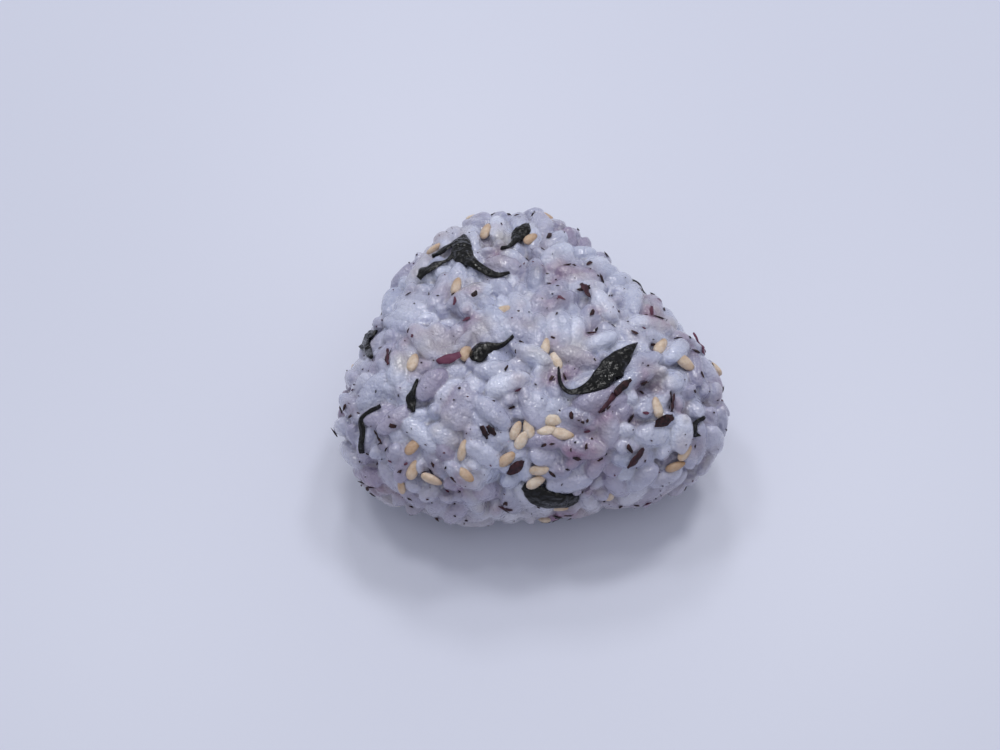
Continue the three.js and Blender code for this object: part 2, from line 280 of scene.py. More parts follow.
FAR_LEAVES = {  # node: longitudes and latitudes along the piece, and widths
    "seaweed_far_right_leaf": ([(48, 4), (40, 10), (31, 9)], [0.8, 2.2, 2.8, 2.0, 0.7]),
    "seaweed_far_right_strip": ([(12, -6), (17, -1), (24, -4)], [0.6, 1.2, 1.3, 0.7]),
    "seaweed_far_left_leaf": ([(128, -2), (136, 3), (146, 1)], [0.7, 2.0, 2.5, 1.9, 0.7]),
    "seaweed_far_left_strip": ([(160, -8), (154, -4), (150, -9)], [0.6, 1.1, 1.2, 0.7]),
}
LEAF_DEPTH = 0.5  # a leaf's path lies this far below the outermost grain tops
CURVE_STEPS = 20  # steps of a smooth curve for each point that is given
ROOM_STATIONS = 12  # points in a row that keeps grains clear of a leaf
ROOM_ROWS = (-0.8, 0.0, 0.8)  # where the rows lie, as shares of half the leaf's width


def smooth_path(points, count):
    """Evenly spaced points on a smooth curve (Catmull-Rom) through the given ones."""
    padded = np.vstack([2 * points[0] - points[1], points, 2 * points[-1] - points[-2]])
    share = np.linspace(0, len(points) - 1, CURVE_STEPS * len(points))
    at = np.minimum(share.astype(int), len(points) - 2)
    t = (share - at)[:, None]
    p0, p1, p2, p3 = (padded[at + k] for k in range(4))
    square = (2 * p0 - 5 * p1 + 4 * p2 - p3) * t**2
    cube = (3 * p1 - p0 - 3 * p2 + p3) * t**2 * t
    curve = 0.5 * (2 * p1 + (p2 - p0) * t + square + cube)
    run = np.concatenate([[0], np.cumsum(np.linalg.norm(np.diff(curve, axis=0), axis=1))])
    even = np.linspace(0, run[-1], count)
    return np.stack([np.interp(even, run, curve[:, k]) for k in range(3)], axis=-1)


leaf_paths = {name: (cast(pixels, LEAF_DEPTH), widths) for name, (pixels, widths) in (LEAVES | FORK).items()}
for name, (spots, widths) in FAR_LEAVES.items():
    leaf_paths[name] = (on_body(globe(*np.radians(spots).T), LEAF_DEPTH), widths)


def leaf_obstacles(path, widths):
    """Points spread over a leaf, which the grains keep clear of: three rows along the path."""
    middle = smooth_path(path, ROOM_STATIONS)
    half = np.interp(np.linspace(0, 1, ROOM_STATIONS), np.linspace(0, 1, len(widths)), widths) / 2
    along = unit(np.gradient(middle, axis=0))
    across = unit(np.cross(outward(middle), along))
    rows = [middle + side * half[:, None] * across for side in ROOM_ROWS]
    return np.vstack(rows)


leaf_points = np.vstack([leaf_obstacles(*leaf) for leaf in leaf_paths.values()])
print(len(leaf_paths), "seaweed paths,", len(leaf_points), "points kept clear of grains")

# %% [markdown]
# ## Packing the grains
#
# Pressed grains touch and squeeze each other. A physics simulation could drop a thousand grains into a
# mould, but a short relaxation is quicker and always gives the same result. Each grain is a capsule, a
# line with a radius. In every step, capsules that overlap push each other apart at their closest points,
# a weak pull presses all of them outwards, and the gauge keeps them inside the body.

# %% Grains to pack
GRAIN_LENGTH = 7.2
GRAIN_WIDTH = 3.3
GRAIN_THICKNESS = 2.85
GRAIN_SPREAD = 0.1
GRAIN_COUNT = 800
SHELL_DEPTH = 6.5  # grains are packed down to this depth, and the bed is below
SHELL_MARGIN = 1.2  # a grain's middle starts at least this far inside the body and above the base
SHELL_TRIES = 40  # random points for each grain, of which those in the shell are kept
LIE_FLAT = 0.72  # the share of a random axis's lean out of the surface that is taken away
WHITE_GRAINS = [  # pixels of both tips of grains that stand out in the photo: chalky white ones
    ((485, 391), (530, 376)), ((409, 324), (436, 357)), ((497, 209), (499, 249)), ((593, 289), (616, 322)),
    ((682, 413), (681, 455)), ((629, 322), (673, 330)), ((470, 389), (486, 364)), ((416, 468), (434, 469)),
    ((438, 402), (464, 375)), ((422, 501), (443, 492)), ((620, 503), (650, 488)), ((419, 319), (436, 304)),
]
CLEAR_GRAINS = [  # glassy ones
    ((631, 284), (634, 318)), ((433, 322), (447, 347)), ((457, 324), (463, 344)), ((386, 373), (360, 411)),
    ((386, 385), (394, 407)), ((396, 350), (399, 386)), ((449, 368), (476, 360)), ((415, 412), (428, 431)),
    ((391, 437), (416, 434)), ((486, 356), (516, 348)), ((510, 363), (534, 359)), ((535, 372), (555, 366)),
    ((534, 381), (556, 392)), ((515, 414), (537, 400)), ((543, 411), (577, 398)), ((476, 398), (511, 428)),
    ((580, 348), (617, 335)), ((635, 435), (673, 437)), ((643, 417), (652, 384)), ((667, 360), (684, 342)),
    ((668, 388), (688, 367)), ((697, 415), (712, 395)), ((710, 428), (716, 452)), ((470, 428), (488, 461)),
    ((506, 432), (490, 461)), ((481, 472), (501, 490)), ((529, 457), (567, 459)), ((575, 475), (586, 458)),
    ((560, 447), (607, 450)), ((464, 222), (477, 256)), ((502, 251), (530, 265)), ((430, 428), (465, 445)),
    ((399, 282), (415, 270)), ((368, 311), (384, 309)), ((417, 287), (434, 278)), ((434, 269), (460, 267)),
    ((437, 308), (450, 298)), ((469, 278), (482, 290)), ((482, 304), (499, 289)), ((513, 243), (526, 240)),
    ((535, 250), (556, 248)), ((517, 289), (537, 280)), ((548, 275), (558, 285)), ((569, 304), (587, 319)),
    ((472, 314), (499, 321)), ((608, 281), (618, 292)), ((600, 326), (630, 337)), ((677, 323), (704, 345)),
    ((642, 296), (655, 305)), ((409, 486), (418, 503)), ((378, 492), (389, 492)), ((410, 512), (424, 512)),
    ((370, 453), (383, 464)), ((504, 483), (527, 492)), ((545, 486), (593, 479)), ((594, 486), (607, 495)),
    ((621, 477), (647, 473)),
]
LILAC_GRAINS = [  # stained ones
    ((417, 400), (445, 369)), ((441, 447), (448, 477)), ((446, 484), (478, 494)), ((474, 492), (503, 504)),
    ((608, 475), (628, 454)), ((575, 407), (615, 387)), ((565, 372), (592, 364)), ((619, 408), (635, 428)),
    ((363, 420), (394, 409)), ((569, 227), (580, 241)), ((585, 236), (604, 252)), ((625, 267), (636, 278)),
]
HERO_GRAINS = WHITE_GRAINS + CLEAR_GRAINS + LILAC_GRAINS
HERO_DEPTH = 1.15  # the axis of a listed grain lies this far below the outermost tops
HERO_BREADTH = 1.08  # these grains are broader than the mean by this
SHORTEST_GRAIN = 6.2
LONGEST_GRAIN = 8.6


def shell_points(count):
    """Random points spread evenly through the shell: points in the box, kept where their depth fits."""
    lo, hi = (np.array(corner) / MM for corner in cad_box)
    v = random.uniform(lo, hi, size=(SHELL_TRIES * count, 3))
    level = gauge(v - BODY_CENTRE)
    further = gauge((v - BODY_CENTRE) * (1 + SLOPE_STEP))
    steep = (further - level) / SLOPE_STEP / np.linalg.norm(v - BODY_CENTRE, axis=1)
    depth = (1 - level) / steep
    fits = (depth > SHELL_MARGIN) & (depth < SHELL_DEPTH) & (v[:, 2] > SHELL_MARGIN)
    return v[fits][:count]


def dip_short(near, far):
    """Far tips sunk inwards where a grain shows shorter than one can be: it points down into the ball."""
    shown = np.linalg.norm(far - near, axis=1)
    dip = np.sqrt(np.maximum(0, SHORTEST_GRAIN**2 - shown**2))
    return far - dip[:, None] * outward(far)


tips = np.array(HERO_GRAINS)
hero_a = cast(tips[:, 0], HERO_DEPTH)
hero_b = dip_short(hero_a, cast(tips[:, 1], HERO_DEPTH))
hero_count = len(tips)

centres = np.vstack([(hero_a + hero_b) / 2, shell_points(GRAIN_COUNT)])
count = len(centres)
size = 1 + GRAIN_SPREAD * random.uniform(-1, 1, size=(count, 3))
lengths = GRAIN_LENGTH * size[:, 0]
widths = GRAIN_WIDTH * size[:, 1]
lengths[:hero_count] = np.clip(np.linalg.norm(hero_b - hero_a, axis=1), SHORTEST_GRAIN, LONGEST_GRAIN)
widths[:hero_count] = GRAIN_WIDTH * HERO_BREADTH
thicknesses = GRAIN_THICKNESS * size[:, 2]
normals = outward(centres)
axes = random.normal(size=(count, 3))
axes -= LIE_FLAT * (axes * normals).sum(axis=1, keepdims=True) * normals
axes[:hero_count] = hero_b - hero_a
axes = unit(axes)
print(count, "grains,", hero_count, "of them placed by hand")

# %% [markdown]
# ## Pushing them apart
#
# The seeds, the leaves and the listed grains join in as capsules that don't move, so the
# other grains give way to them. Pairs that are far apart are left out, which saves most of the work.

# %% Relaxation
OUTSIDE_SPREAD = 1.1  # how unevenly deep the grain tops lie below the body's outermost surface
SQUEEZE = 0.86  # grains may press into each other until their radii fit this share
BASE_SQUASH = 0.85  # a grain's axis stays above the base by this share of its radius
PACK_STEPS = 260
PAIR_STEPS = 10  # close pairs are listed afresh after this many steps
PAIR_MARGIN = 0.3
PULL = 0.035
PUSH = 0.3
SEED_ROOM = (0.8, 0.75)  # half the length of a seed's capsule, and its radius
SEED_ROOM_DEPTH = 0.25
LEAF_ROOM = (0.05, 0.55)  # the same for a point of a leaf


def closest_shares(a0, a1, b0, b1):
    """Shares along segments a and b at which they come closest, by the usual two clamped projections."""
    da, db, between = a1 - a0, b1 - b0, a0 - b0
    aa = (da * da).sum(axis=1)
    bb = (db * db).sum(axis=1)
    ab = (da * db).sum(axis=1)
    ac = (da * between).sum(axis=1)
    bc = (db * between).sum(axis=1)
    spread = np.maximum(aa * bb - ab * ab, 1e-9)
    s = np.clip((ab * bc - ac * bb) / spread, 0, 1)
    t = np.clip((ab * s + bc) / np.maximum(bb, 1e-9), 0, 1)
    s = np.clip((ab * t - ac) / np.maximum(aa, 1e-9), 0, 1)
    return s, t


def near_pairs(middle, reach):
    """Index pairs whose middles are closer than both reaches together."""
    gap = np.linalg.norm(middle[:, None] - middle[None], axis=2)
    return np.nonzero(np.triu(gap < reach[:, None] + reach[None], k=1))


def pack(centres, axes, half, radius, movable, outside):
    """Capsules pushed apart, pressed outwards and kept inside the body, until they lie packed."""
    ends = np.stack([centres - half[:, None] * axes, centres + half[:, None] * axes], axis=1)
    for step in range(PACK_STEPS):
        middle = ends.mean(axis=1)
        if step % PAIR_STEPS == 0:
            i, j = near_pairs(middle, half + radius + PAIR_MARGIN)
            pull = PULL * outward(middle)
        s, t = closest_shares(ends[i, 0], ends[i, 1], ends[j, 0], ends[j, 1])
        s, t = s[:, None], t[:, None]
        gap = ends[i, 0] * (1 - s) + ends[i, 1] * s - ends[j, 0] * (1 - t) - ends[j, 1] * t
        far = np.maximum(np.linalg.norm(gap, axis=1, keepdims=True), 1e-6)
        push = PUSH * np.maximum(0, SQUEEZE * (radius[i] + radius[j])[:, None] - far) * gap / far
        share = (movable[i] / np.maximum(movable[i] + movable[j], 1))[:, None]
        move = np.zeros_like(ends)
        np.add.at(move[:, 0], i, 2 * share * push * (1 - s))
        np.add.at(move[:, 1], i, 2 * share * push * s)
        np.add.at(move[:, 0], j, -2 * (1 - share) * push * (1 - t))
        np.add.at(move[:, 1], j, -2 * (1 - share) * push * t)
        move += pull[:, None]
        ends = ends + movable[:, None, None] * move
        level = gauge(ends - BODY_CENTRE, outside[:, None])
        inside = BODY_CENTRE + (ends - BODY_CENTRE) / np.maximum(level, 1)[..., None]
        inside[..., 2] = np.maximum(inside[..., 2], BASE_SQUASH * radius[:, None])
        ends = np.where(movable[:, None, None] > 0, inside, ends)
        middle = ends.mean(axis=1)
        axes = unit(ends[:, 1] - ends[:, 0])
        ends = np.stack([middle - half[:, None] * axes, middle + half[:, None] * axes], axis=1)
    return middle, axes


grain_radius = (widths + thicknesses) / 4
grain_half = lengths / 2 - grain_radius
seed_count = len(seed_places)
leaf_count = len(leaf_points)
all_centres = np.vstack([centres, seed_places - SEED_ROOM_DEPTH * outward(seed_places), leaf_points])
all_axes = np.vstack([axes, seed_axes, in_picture(leaf_points, np.zeros(leaf_count))])
room = np.array([SEED_ROOM] * seed_count + [LEAF_ROOM] * leaf_count)
all_half = np.concatenate([grain_half, room[:, 0]])
all_radius = np.concatenate([grain_radius, room[:, 1]])
movable = np.ones(len(all_centres))
movable[:hero_count] = 0
movable[count:] = 0
outside = all_radius + OUTSIDE_SPREAD * random.uniform(0, 1, len(all_radius)) ** 2
packed_centres, packed_axes = pack(all_centres, all_axes, all_half, all_radius, movable, outside)
centres = packed_centres[:count]
axes = packed_axes[:count]
print("packed", count, "grains; highest middle at", round(float(centres[:, 2].max()), 2), "mm")

# %% [markdown]
# ## The shape of a grain
#
# A cooked grain is a plump, slightly bent pip. One end is fuller, and the other has a small notch where the
# germ was. The surface is worked out from two parameters, one along the grain and one around it, for all
# grains at once. Each has eighty faces, and the one skin that is drawn over all of them rounds them off.

# %% Grain surfaces
ALONG = 8
AROUND = 10
PLUMP_POWERS = (2.5, 0.54)
FULLER_END = 0.10
NOTCH_DEPTH = 0.3
NOTCH_PLACE = 0.72
NOTCH_LENGTH = 0.25
NOTCH_TURN = 0.8
WAVINESS = 0.06
BEND = 0.22
ROLL = 0.4


def pip_grid(along, around):
    """The parameters of a pip: `t` from -1 to 1 along it, closer together at the ends, and `a` around it."""
    t = -np.cos(np.linspace(0, np.pi, along + 1))
    a = np.linspace(0, 2 * np.pi, around, endpoint=False)
    return np.meshgrid(t, a, indexing="ij")


def pip_faces(pips, along, around):
    """Quads between neighbouring rings of every pip; the first and last ring lie on its tips."""
    ring, step = np.meshgrid(np.arange(along), np.arange(around), indexing="ij")
    here = ring * around + step
    beside = ring * around + (step + 1) % around
    quad = np.stack([here, beside, beside + around, here + around], axis=-1).reshape(-1, 4)
    first = np.arange(pips)[:, None, None] * (along + 1) * around
    return (first + quad).reshape(-1, 4)


def frames(axes, normals, rolls):
    """Side and up directions for each axis: up leans to the surface's normal, then rolls about the axis."""
    side = unit(np.cross(normals, axes))
    up = np.cross(axes, side)
    c, s = np.cos(rolls)[:, None], np.sin(rolls)[:, None]
    return c * side + s * up, c * up - s * side


def placed(centres, amounts, ways):
    """Points of pips: each centre, plus the amounts times the pip's own three directions."""
    parts = zip(amounts, ways)
    return centres[:, None, None] + sum(amount[..., None] * way[:, None, None] for amount, way in parts)


def grain_points(centres, axes, side, up, lengths, widths, thicknesses):
    """Points of all grains: a plump profile along the axis, broader than thick, bent, fuller at one end.

    Half the width at `t` is a power curve that falls to nothing at both tips. A dent near one tip is the
    germ's notch, and two slow waves around the grain make each one a little different.
    """
    t, a = pip_grid(ALONG, AROUND)
    n = len(centres)
    plump = np.maximum(0, 1 - np.abs(t) ** PLUMP_POWERS[0]) ** PLUMP_POWERS[1]
    fuller = 1 + random.uniform(-FULLER_END, FULLER_END, (n, 1, 1)) * t
    notch_side = np.exp(-((np.minimum(a, 2 * np.pi - a) / NOTCH_TURN) ** 2))
    notch_near = np.exp(-(((t - NOTCH_PLACE) / NOTCH_LENGTH) ** 2))
    notch = 1 - random.uniform(0.0, NOTCH_DEPTH, (n, 1, 1)) * notch_near * notch_side
    start = random.uniform(0, 2 * np.pi, (2, n, 1, 1))
    wave = 1 + WAVINESS * np.cos(2 * a + start[0]) * np.cos(2 * t + start[1])
    body = plump * fuller * notch * wave
    across = 0.5 * widths[:, None, None] * body * np.cos(a)
    high = 0.5 * thicknesses[:, None, None] * body * np.sin(a)
    bend = random.normal(0, BEND, (2, n, 1, 1)) * (t**2 - 0.4)
    along = 0.5 * lengths[:, None, None] * t
    return placed(centres, (along, across + bend[0], high + bend[1]), (axes, side, up))


def make_piece(name, points, faces, material, smooth=True):
    """A mesh object at the origin from points in millimetres and an array of faces."""
    mesh = bpy.data.meshes.new(name)
    mesh.from_pydata(np.asarray(points, float).reshape(-1, 3) * MM, [], faces)
    mesh.polygons.foreach_set("use_smooth", np.full(len(mesh.polygons), smooth))
    mesh.materials.append(material)
    piece = bpy.data.objects.new(name, mesh)
    bpy.context.scene.collection.objects.link(piece)
    return piece


def weld(piece):
    """Merges corners that lie in one place, so that tips and seams are closed, and turns faces outwards."""
    shape = bmesh.new()
    shape.from_mesh(piece.data)
    bmesh.ops.remove_doubles(shape, verts=shape.verts, dist=1e-7)
    bmesh.ops.recalc_face_normals(shape, faces=shape.faces)
    shape.to_mesh(piece.data)
    shape.free()


def paint(piece, name, values):
    """Stores one number for each point of a piece, for its material to read."""
    layer = piece.data.attributes.new(name, "FLOAT", "POINT")
    layer.data.foreach_set("value", np.asarray(values, np.float32).ravel())


normals = outward(centres)
side, up = frames(axes, normals, random.normal(0, ROLL, count))
grains = grain_points(centres, axes, side, up, lengths, widths, thicknesses)
grains[..., 2] = np.maximum(grains[..., 2], 0.0)
print("grain points:", grains.shape)

# %% [markdown]
# ## Where the surface is now
#
# Flakes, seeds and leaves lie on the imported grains, and the bed fills the gaps below them. All of them ask
# the same question: how far out is the outermost grain in this direction? Every grain is close to an
# ellipsoid, and a ray meets an ellipsoid where a quadratic is zero, so one formula answers for all grains.

# %% Rays against grains
NOWHERE = -1.0
CHUNK = 1500


def into_grains():
    """For each grain, the rows that turn a vector into its own frame and divide it by its half sizes."""
    half = 0.5 * np.stack([lengths, widths, thicknesses], axis=1)
    return np.stack([axes, side, up], axis=1) / half[:, :, None]


def outermost(directions):
    """Distance from the body's centre to the outermost grain in each direction, and which grain that is.

    In a grain's own frame, divided by its half sizes, it is a unit ball. The far root of |o + r d|^2 = 1 is
    where the ray leaves it.
    """
    turn_in = into_grains()
    start = np.einsum("nij,nj->ni", turn_in, BODY_CENTRE - centres)
    inner = (start * start).sum(axis=1) - 1
    reach = np.full(len(directions), NOWHERE)
    which = np.zeros(len(directions), int)
    for first in range(0, len(directions), CHUNK):
        part = slice(first, first + CHUNK)
        way = np.einsum("nij,dj->dni", turn_in, directions[part])
        aa = (way * way).sum(axis=2)
        ab = (way * start).sum(axis=2)
        root = ab * ab - aa * inner
        leave = np.where(root > 0, (np.sqrt(np.maximum(root, 0)) - ab) / aa, NOWHERE)
        which[part] = leave.argmax(axis=1)
        reach[part] = leave.max(axis=1)
    return reach, which


def grain_normals(points, which):
    """Which way the named grains' surfaces face at points: the ellipsoid's gradient."""
    v = points - centres[which]
    slope = np.zeros_like(v)
    for way, size in zip((axes, side, up), (lengths, widths, thicknesses)):
        slope = slope + upright(v, way[which]) / (0.5 * size[which, None]) ** 2
    return unit(slope)


# %% [markdown]
# ## The sticky bed
#
# Between the grains the real surface isn't a row of black gaps: starch fills them, and grains further in
# show. The bed is one closed surface over longitude and latitude, like a skin stretched over the grains. It
# is blurred, lifted back onto the grain tops, blurred again and lowered, which fills narrow gaps more than
# wide ones and leaves the tops free.

# %% Bed
BED_COLUMNS = 430
BED_ROWS = 210
BED_BLUR = 0.42
BED_DROP = 0.62
BED_FLOOR = 3.4  # the bed is at most this deep below the outermost tops
PROFILE_STEPS = 2000
PROFILE_TURN = 30  # degrees between the directions in which the body's profile is measured


def even_latitudes(rows):
    """Latitudes that lie evenly along the body's profile, from the top to the bottom."""
    lat = np.radians(np.linspace(90, -90, PROFILE_STEPS))
    ring = np.radians(np.arange(0, 360, PROFILE_TURN))
    reach = (1 / gauge(globe(ring[None], lat[:, None]))).mean(axis=1)
    profile = reach[:, None] * np.stack([np.cos(lat), np.sin(lat)], axis=-1)
    run = np.concatenate([[0], np.cumsum(np.linalg.norm(np.diff(profile, axis=0), axis=1))])
    return np.interp(np.linspace(0, run[-1], rows), run, lat)


def blur(height, lat, width):
    """A Gaussian blur of a height over longitude and latitude, `width` wide on the surface.

    Round each row the blur is done on its waves: short ones fade more than long ones. Along the columns
    it is a weighted mean of the rows above and below.
    """
    mean = height.mean(axis=1)
    waves = np.fft.rfft(height, axis=1)
    number = np.arange(waves.shape[1])
    spread = width / np.maximum(mean * np.cos(lat), width / 2)
    smooth = np.fft.irfft(waves * np.exp(-0.5 * (spread[:, None] * number) ** 2), n=height.shape[1], axis=1)
    run = np.concatenate([[0], np.cumsum(np.abs(np.diff(lat)) * 0.5 * (mean[1:] + mean[:-1]))])
    weight = np.exp(-0.5 * ((run[:, None] - run[None]) / width) ** 2)
    return (weight / weight.sum(axis=1, keepdims=True)) @ smooth


bed_lat = even_latitudes(BED_ROWS)
bed_lon = np.linspace(0, 2 * np.pi, BED_COLUMNS, endpoint=False)
bed_ways = globe(bed_lon[None], bed_lat[:, None])
hit, _ = outermost(bed_ways.reshape(-1, 3))
grain_tops = np.maximum(hit.reshape(bed_ways.shape[:2]), 1 / gauge(bed_ways, BED_FLOOR))
bed_reach = np.maximum(blur(grain_tops, bed_lat, BED_BLUR), grain_tops)
bed_reach = blur(bed_reach, bed_lat, BED_BLUR) - BED_DROP
bed_points = BODY_CENTRE + bed_reach[..., None] * bed_ways
bed_points[..., 2] = np.maximum(bed_points[..., 2], 0.0)
no_grain = round(float((hit < 0).mean() * 100), 1)
print("bed:", bed_points.shape[:2], "points;", no_grain, "% of it had no grain above")

# %% [markdown]
# ## Flakes of red leaf
#
# The dark specks are crumbs of dried red leaf, and some larger scraps of it. They colour the rice round them
# lilac and pink. The ones that stand out are placed by their pixels, and the same kind is strewn all over.
# Each crumb is a small cushion of triangles, lying on the grain below it.

# %% Flakes
SEEN_FLAKES = [  # pixel x, y, the length in pixels, and the angle in the picture
    (415, 255, 8, 0), (406, 292, 6, 40), (422, 289, 6, 5), (438, 296, 3, 0), (451, 292, 5, 60),
    (456, 302, 7, 80), (467, 319, 8, 20), (449, 319, 7, 80), (476, 297, 8, 50), (379, 312, 4, 0),
    (491, 209, 8, 30), (494, 247, 8, -25), (526, 245, 9, 70), (516, 210, 6, 20), (533, 210, 9, 10),
    (561, 221, 9, -20), (549, 237, 11, 80), (543, 244, 4, 10), (567, 264, 10, -5), (573, 269, 5, -60),
    (541, 271, 4, 0), (548, 269, 5, 35), (520, 273, 6, -10), (589, 264, 7, 30), (559, 302, 8, -30),
    (583, 291, 14, 35), (602, 278, 9, -30), (591, 301, 5, 0), (591, 314, 9, 75), (616, 322, 12, -4),
    (599, 327, 5, 70), (557, 288, 3, 0), (519, 313, 3, 0), (529, 313, 2, 0), (641, 287, 9, -20),
    (652, 295, 5, -40), (656, 302, 5, -20), (649, 312, 12, 82), (646, 315, 5, 10), (654, 320, 14, 3),
    (618, 312, 5, 60), (594, 331, 12, 12), (634, 333, 8, -25), (664, 310, 6, -35), (679, 338, 10, 15),
    (691, 346, 8, -40), (694, 352, 7, -30), (658, 343, 5, -40), (417, 338, 4, -50), (412, 332, 5, 85),
    (424, 373, 4, 40), (434, 395, 5, 50), (462, 388, 4, 20), (477, 378, 4, -10), (388, 356, 14, 75),
    (377, 347, 6, 60), (370, 375, 5, -60), (348, 390, 4, 0), (347, 407, 8, 45), (352, 416, 7, 15),
    (358, 413, 3, 0), (395, 425, 7, 0), (378, 444, 5, 30), (384, 450, 7, 20), (388, 462, 5, 0),
    (362, 456, 4, -60), (521, 341, 5, 0), (552, 339, 5, -30), (516, 352, 4, 70), (507, 369, 6, 60),
    (518, 390, 8, 10), (552, 378, 6, 50), (566, 376, 7, -45), (510, 409, 9, 80), (494, 401, 3, 0),
    (570, 415, 7, -70), (577, 419, 3, 0), (581, 421, 4, 0), (586, 420, 4, 60), (587, 432, 7, 20),
    (544, 445, 5, 30), (552, 443, 5, 0), (600, 410, 8, 30), (606, 407, 5, 45), (583, 443, 6, 85),
    (645, 383, 8, 50), (649, 365, 3, 0), (654, 393, 8, -65), (665, 390, 4, -40), (679, 399, 18, -65),
    (680, 410, 8, 50), (645, 413, 6, -5), (638, 423, 12, 80), (717, 413, 3, 0), (699, 448, 4, 80),
    (701, 375, 7, -60), (695, 391, 4, -40), (694, 410, 4, 70), (627, 447, 10, -60), (402, 470, 6, 40),
    (407, 463, 4, 60), (420, 475, 4, 0), (426, 476, 5, -20), (438, 487, 12, -5), (445, 494, 8, 80),
    (454, 478, 9, -70), (457, 496, 5, 5), (387, 499, 5, -10), (408, 501, 6, -50), (426, 508, 4, -20),
    (407, 512, 5, 10), (456, 514, 3, 0), (465, 523, 4, 0), (362, 483, 8, -50), (372, 488, 10, 20),
    (420, 489, 5, 80), (575, 456, 8, -10), (600, 459, 8, 20), (607, 456, 4, 30), (567, 468, 5, -10),
    (552, 473, 7, -40), (506, 501, 10, 75), (505, 508, 15, 2), (557, 516, 9, 25), (567, 513, 8, 5),
    (592, 489, 10, 75), (621, 507, 6, -15), (646, 502, 8, 10), (635, 504, 6, 10),
]
PIXEL = 0.158  # the size of a photo pixel on the ball
STREWN_FLAKES = 420
STREWN_TRIES = 12  # random directions for each strewn flake, of which an even share is kept
STREWN_LENGTH = (-0.2, 0.5)  # mean and spread of the logarithm of a strewn flake's length
STREWN_SHRINK = 0.4  # where the camera sees them, the strewn ones are only this share as long
STREWN_SEEN = 0.25  # and that is where the surface leans to it by more than this
SEEN_STRETCH = 1.25  # flakes lie tilted, so they are longer than they show
FLAKE_DEPTH = 0.8  # a flake's place is sought this far below the outermost grain tops
FLAKE_FLOOR = 0.8  # no strewn flake lies lower
FLAKE_CORNERS = 7
FLAKE_LIFT = 0.03
FLAKE_TOP = 0.14
FLAKE_BELOW = 0.2
WIDEST_FLAKE = 0.9


def strewn_ways(count, floor):
    """Random directions that fall evenly on the body's surface: kept by how much surface each one covers."""
    v = unit(random.normal(size=(STREWN_TRIES * count, 3)))
    point = on_body(v)
    reach = np.linalg.norm(point - BODY_CENTRE, axis=1)
    cover = reach**2 / np.maximum((v * outward(point)).sum(axis=1), 0.2)
    keep = (random.uniform(0, 1, len(v)) < cover / cover.max()) & (point[:, 2] > floor)
    return v[keep][:count]


def flake_points(places, normals, headings, lengths, widths):
    """Each flake is two low cones on one ragged rim: a top point, a rim of corners and a point below."""
    n = len(places)
    across = np.cross(normals, headings)
    a = np.linspace(0, 2 * np.pi, FLAKE_CORNERS, endpoint=False)
    a = a + random.uniform(-0.3, 0.3, (n, FLAKE_CORNERS))
    ragged = random.uniform(0.6, 1.15, (n, FLAKE_CORNERS))
    x = 0.5 * lengths[:, None] * np.cos(a) * ragged
    y = 0.5 * widths[:, None] * np.sin(a) * ragged
    lift = random.uniform(-0.06, 0.12, (n, FLAKE_CORNERS))
    rim = places[:, None] + x[..., None] * headings[:, None] + y[..., None] * across[:, None]
    rim = rim + lift[..., None] * normals[:, None]
    top = places + FLAKE_TOP * normals
    low = places - FLAKE_BELOW * normals
    return np.concatenate([rim, top[:, None], low[:, None]], axis=1)


def flake_faces(n):
    """Triangles from the rim to the top point and to the point below."""
    k = np.arange(FLAKE_CORNERS)
    nxt = (k + 1) % FLAKE_CORNERS
    upper = np.stack([k, nxt, np.full(FLAKE_CORNERS, FLAKE_CORNERS)], axis=1)
    lower = np.stack([nxt, k, np.full(FLAKE_CORNERS, FLAKE_CORNERS + 1)], axis=1)
    first = np.arange(n)[:, None, None] * (FLAKE_CORNERS + 2)
    return (first + np.vstack([upper, lower])).reshape(-1, 3)


def settle(ways):
    """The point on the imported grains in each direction, and which way the surface faces there."""
    reach, which = outermost(ways)
    points = BODY_CENTRE + np.maximum(reach, 0)[:, None] * ways
    open_gap = reach < 1 / gauge(ways, BED_FLOOR)
    points = np.where(open_gap[:, None], on_body(ways, BED_FLOOR), points)
    facing = np.where(open_gap[:, None], outward(on_body(ways)), grain_normals(points, which))
    return points, facing


seen_flakes = np.array(SEEN_FLAKES, float)
seen_ways = unit(cast(seen_flakes[:, :2], FLAKE_DEPTH) - BODY_CENTRE)
flake_ways = np.vstack([seen_ways, strewn_ways(STREWN_FLAKES, FLAKE_FLOOR)])
flake_places, flake_normals = settle(flake_ways)
flake_turns = np.concatenate([seen_flakes[:, 3], random.uniform(0, 180, STREWN_FLAKES)])
flake_headings = in_picture(flake_places, flake_turns)
flake_headings = unit(flake_headings - upright(flake_headings, flake_normals))
strewn_lengths = np.exp(random.normal(*STREWN_LENGTH, STREWN_FLAKES))
strewn_seen = outward(flake_places[len(seen_flakes) :]) @ CAMERA_BACK > STREWN_SEEN
strewn_lengths = np.where(strewn_seen, STREWN_SHRINK * strewn_lengths, strewn_lengths)
flake_lengths = np.concatenate([PIXEL * seen_flakes[:, 2] * SEEN_STRETCH, strewn_lengths])
flake_widths = np.minimum(flake_lengths * random.uniform(0.3, 0.75, len(flake_lengths)), WIDEST_FLAKE)
raised = flake_places + FLAKE_LIFT * flake_normals
flakes = flake_points(raised, flake_normals, flake_headings, flake_lengths, flake_widths)
print(len(flakes), "flakes,", len(seen_flakes), "of them placed by hand")

# %% [markdown]
# ## One sticky skin
#
# Cooked grains stick together: where they touch, no clear line is left. Overlapping meshes would show hard
# seams, and light that wanders inside one grain would stop at the next. So all grains and the bed are fused
# by a remesh on small cubes, which keeps only the outer skin, and that skin is softened a little.

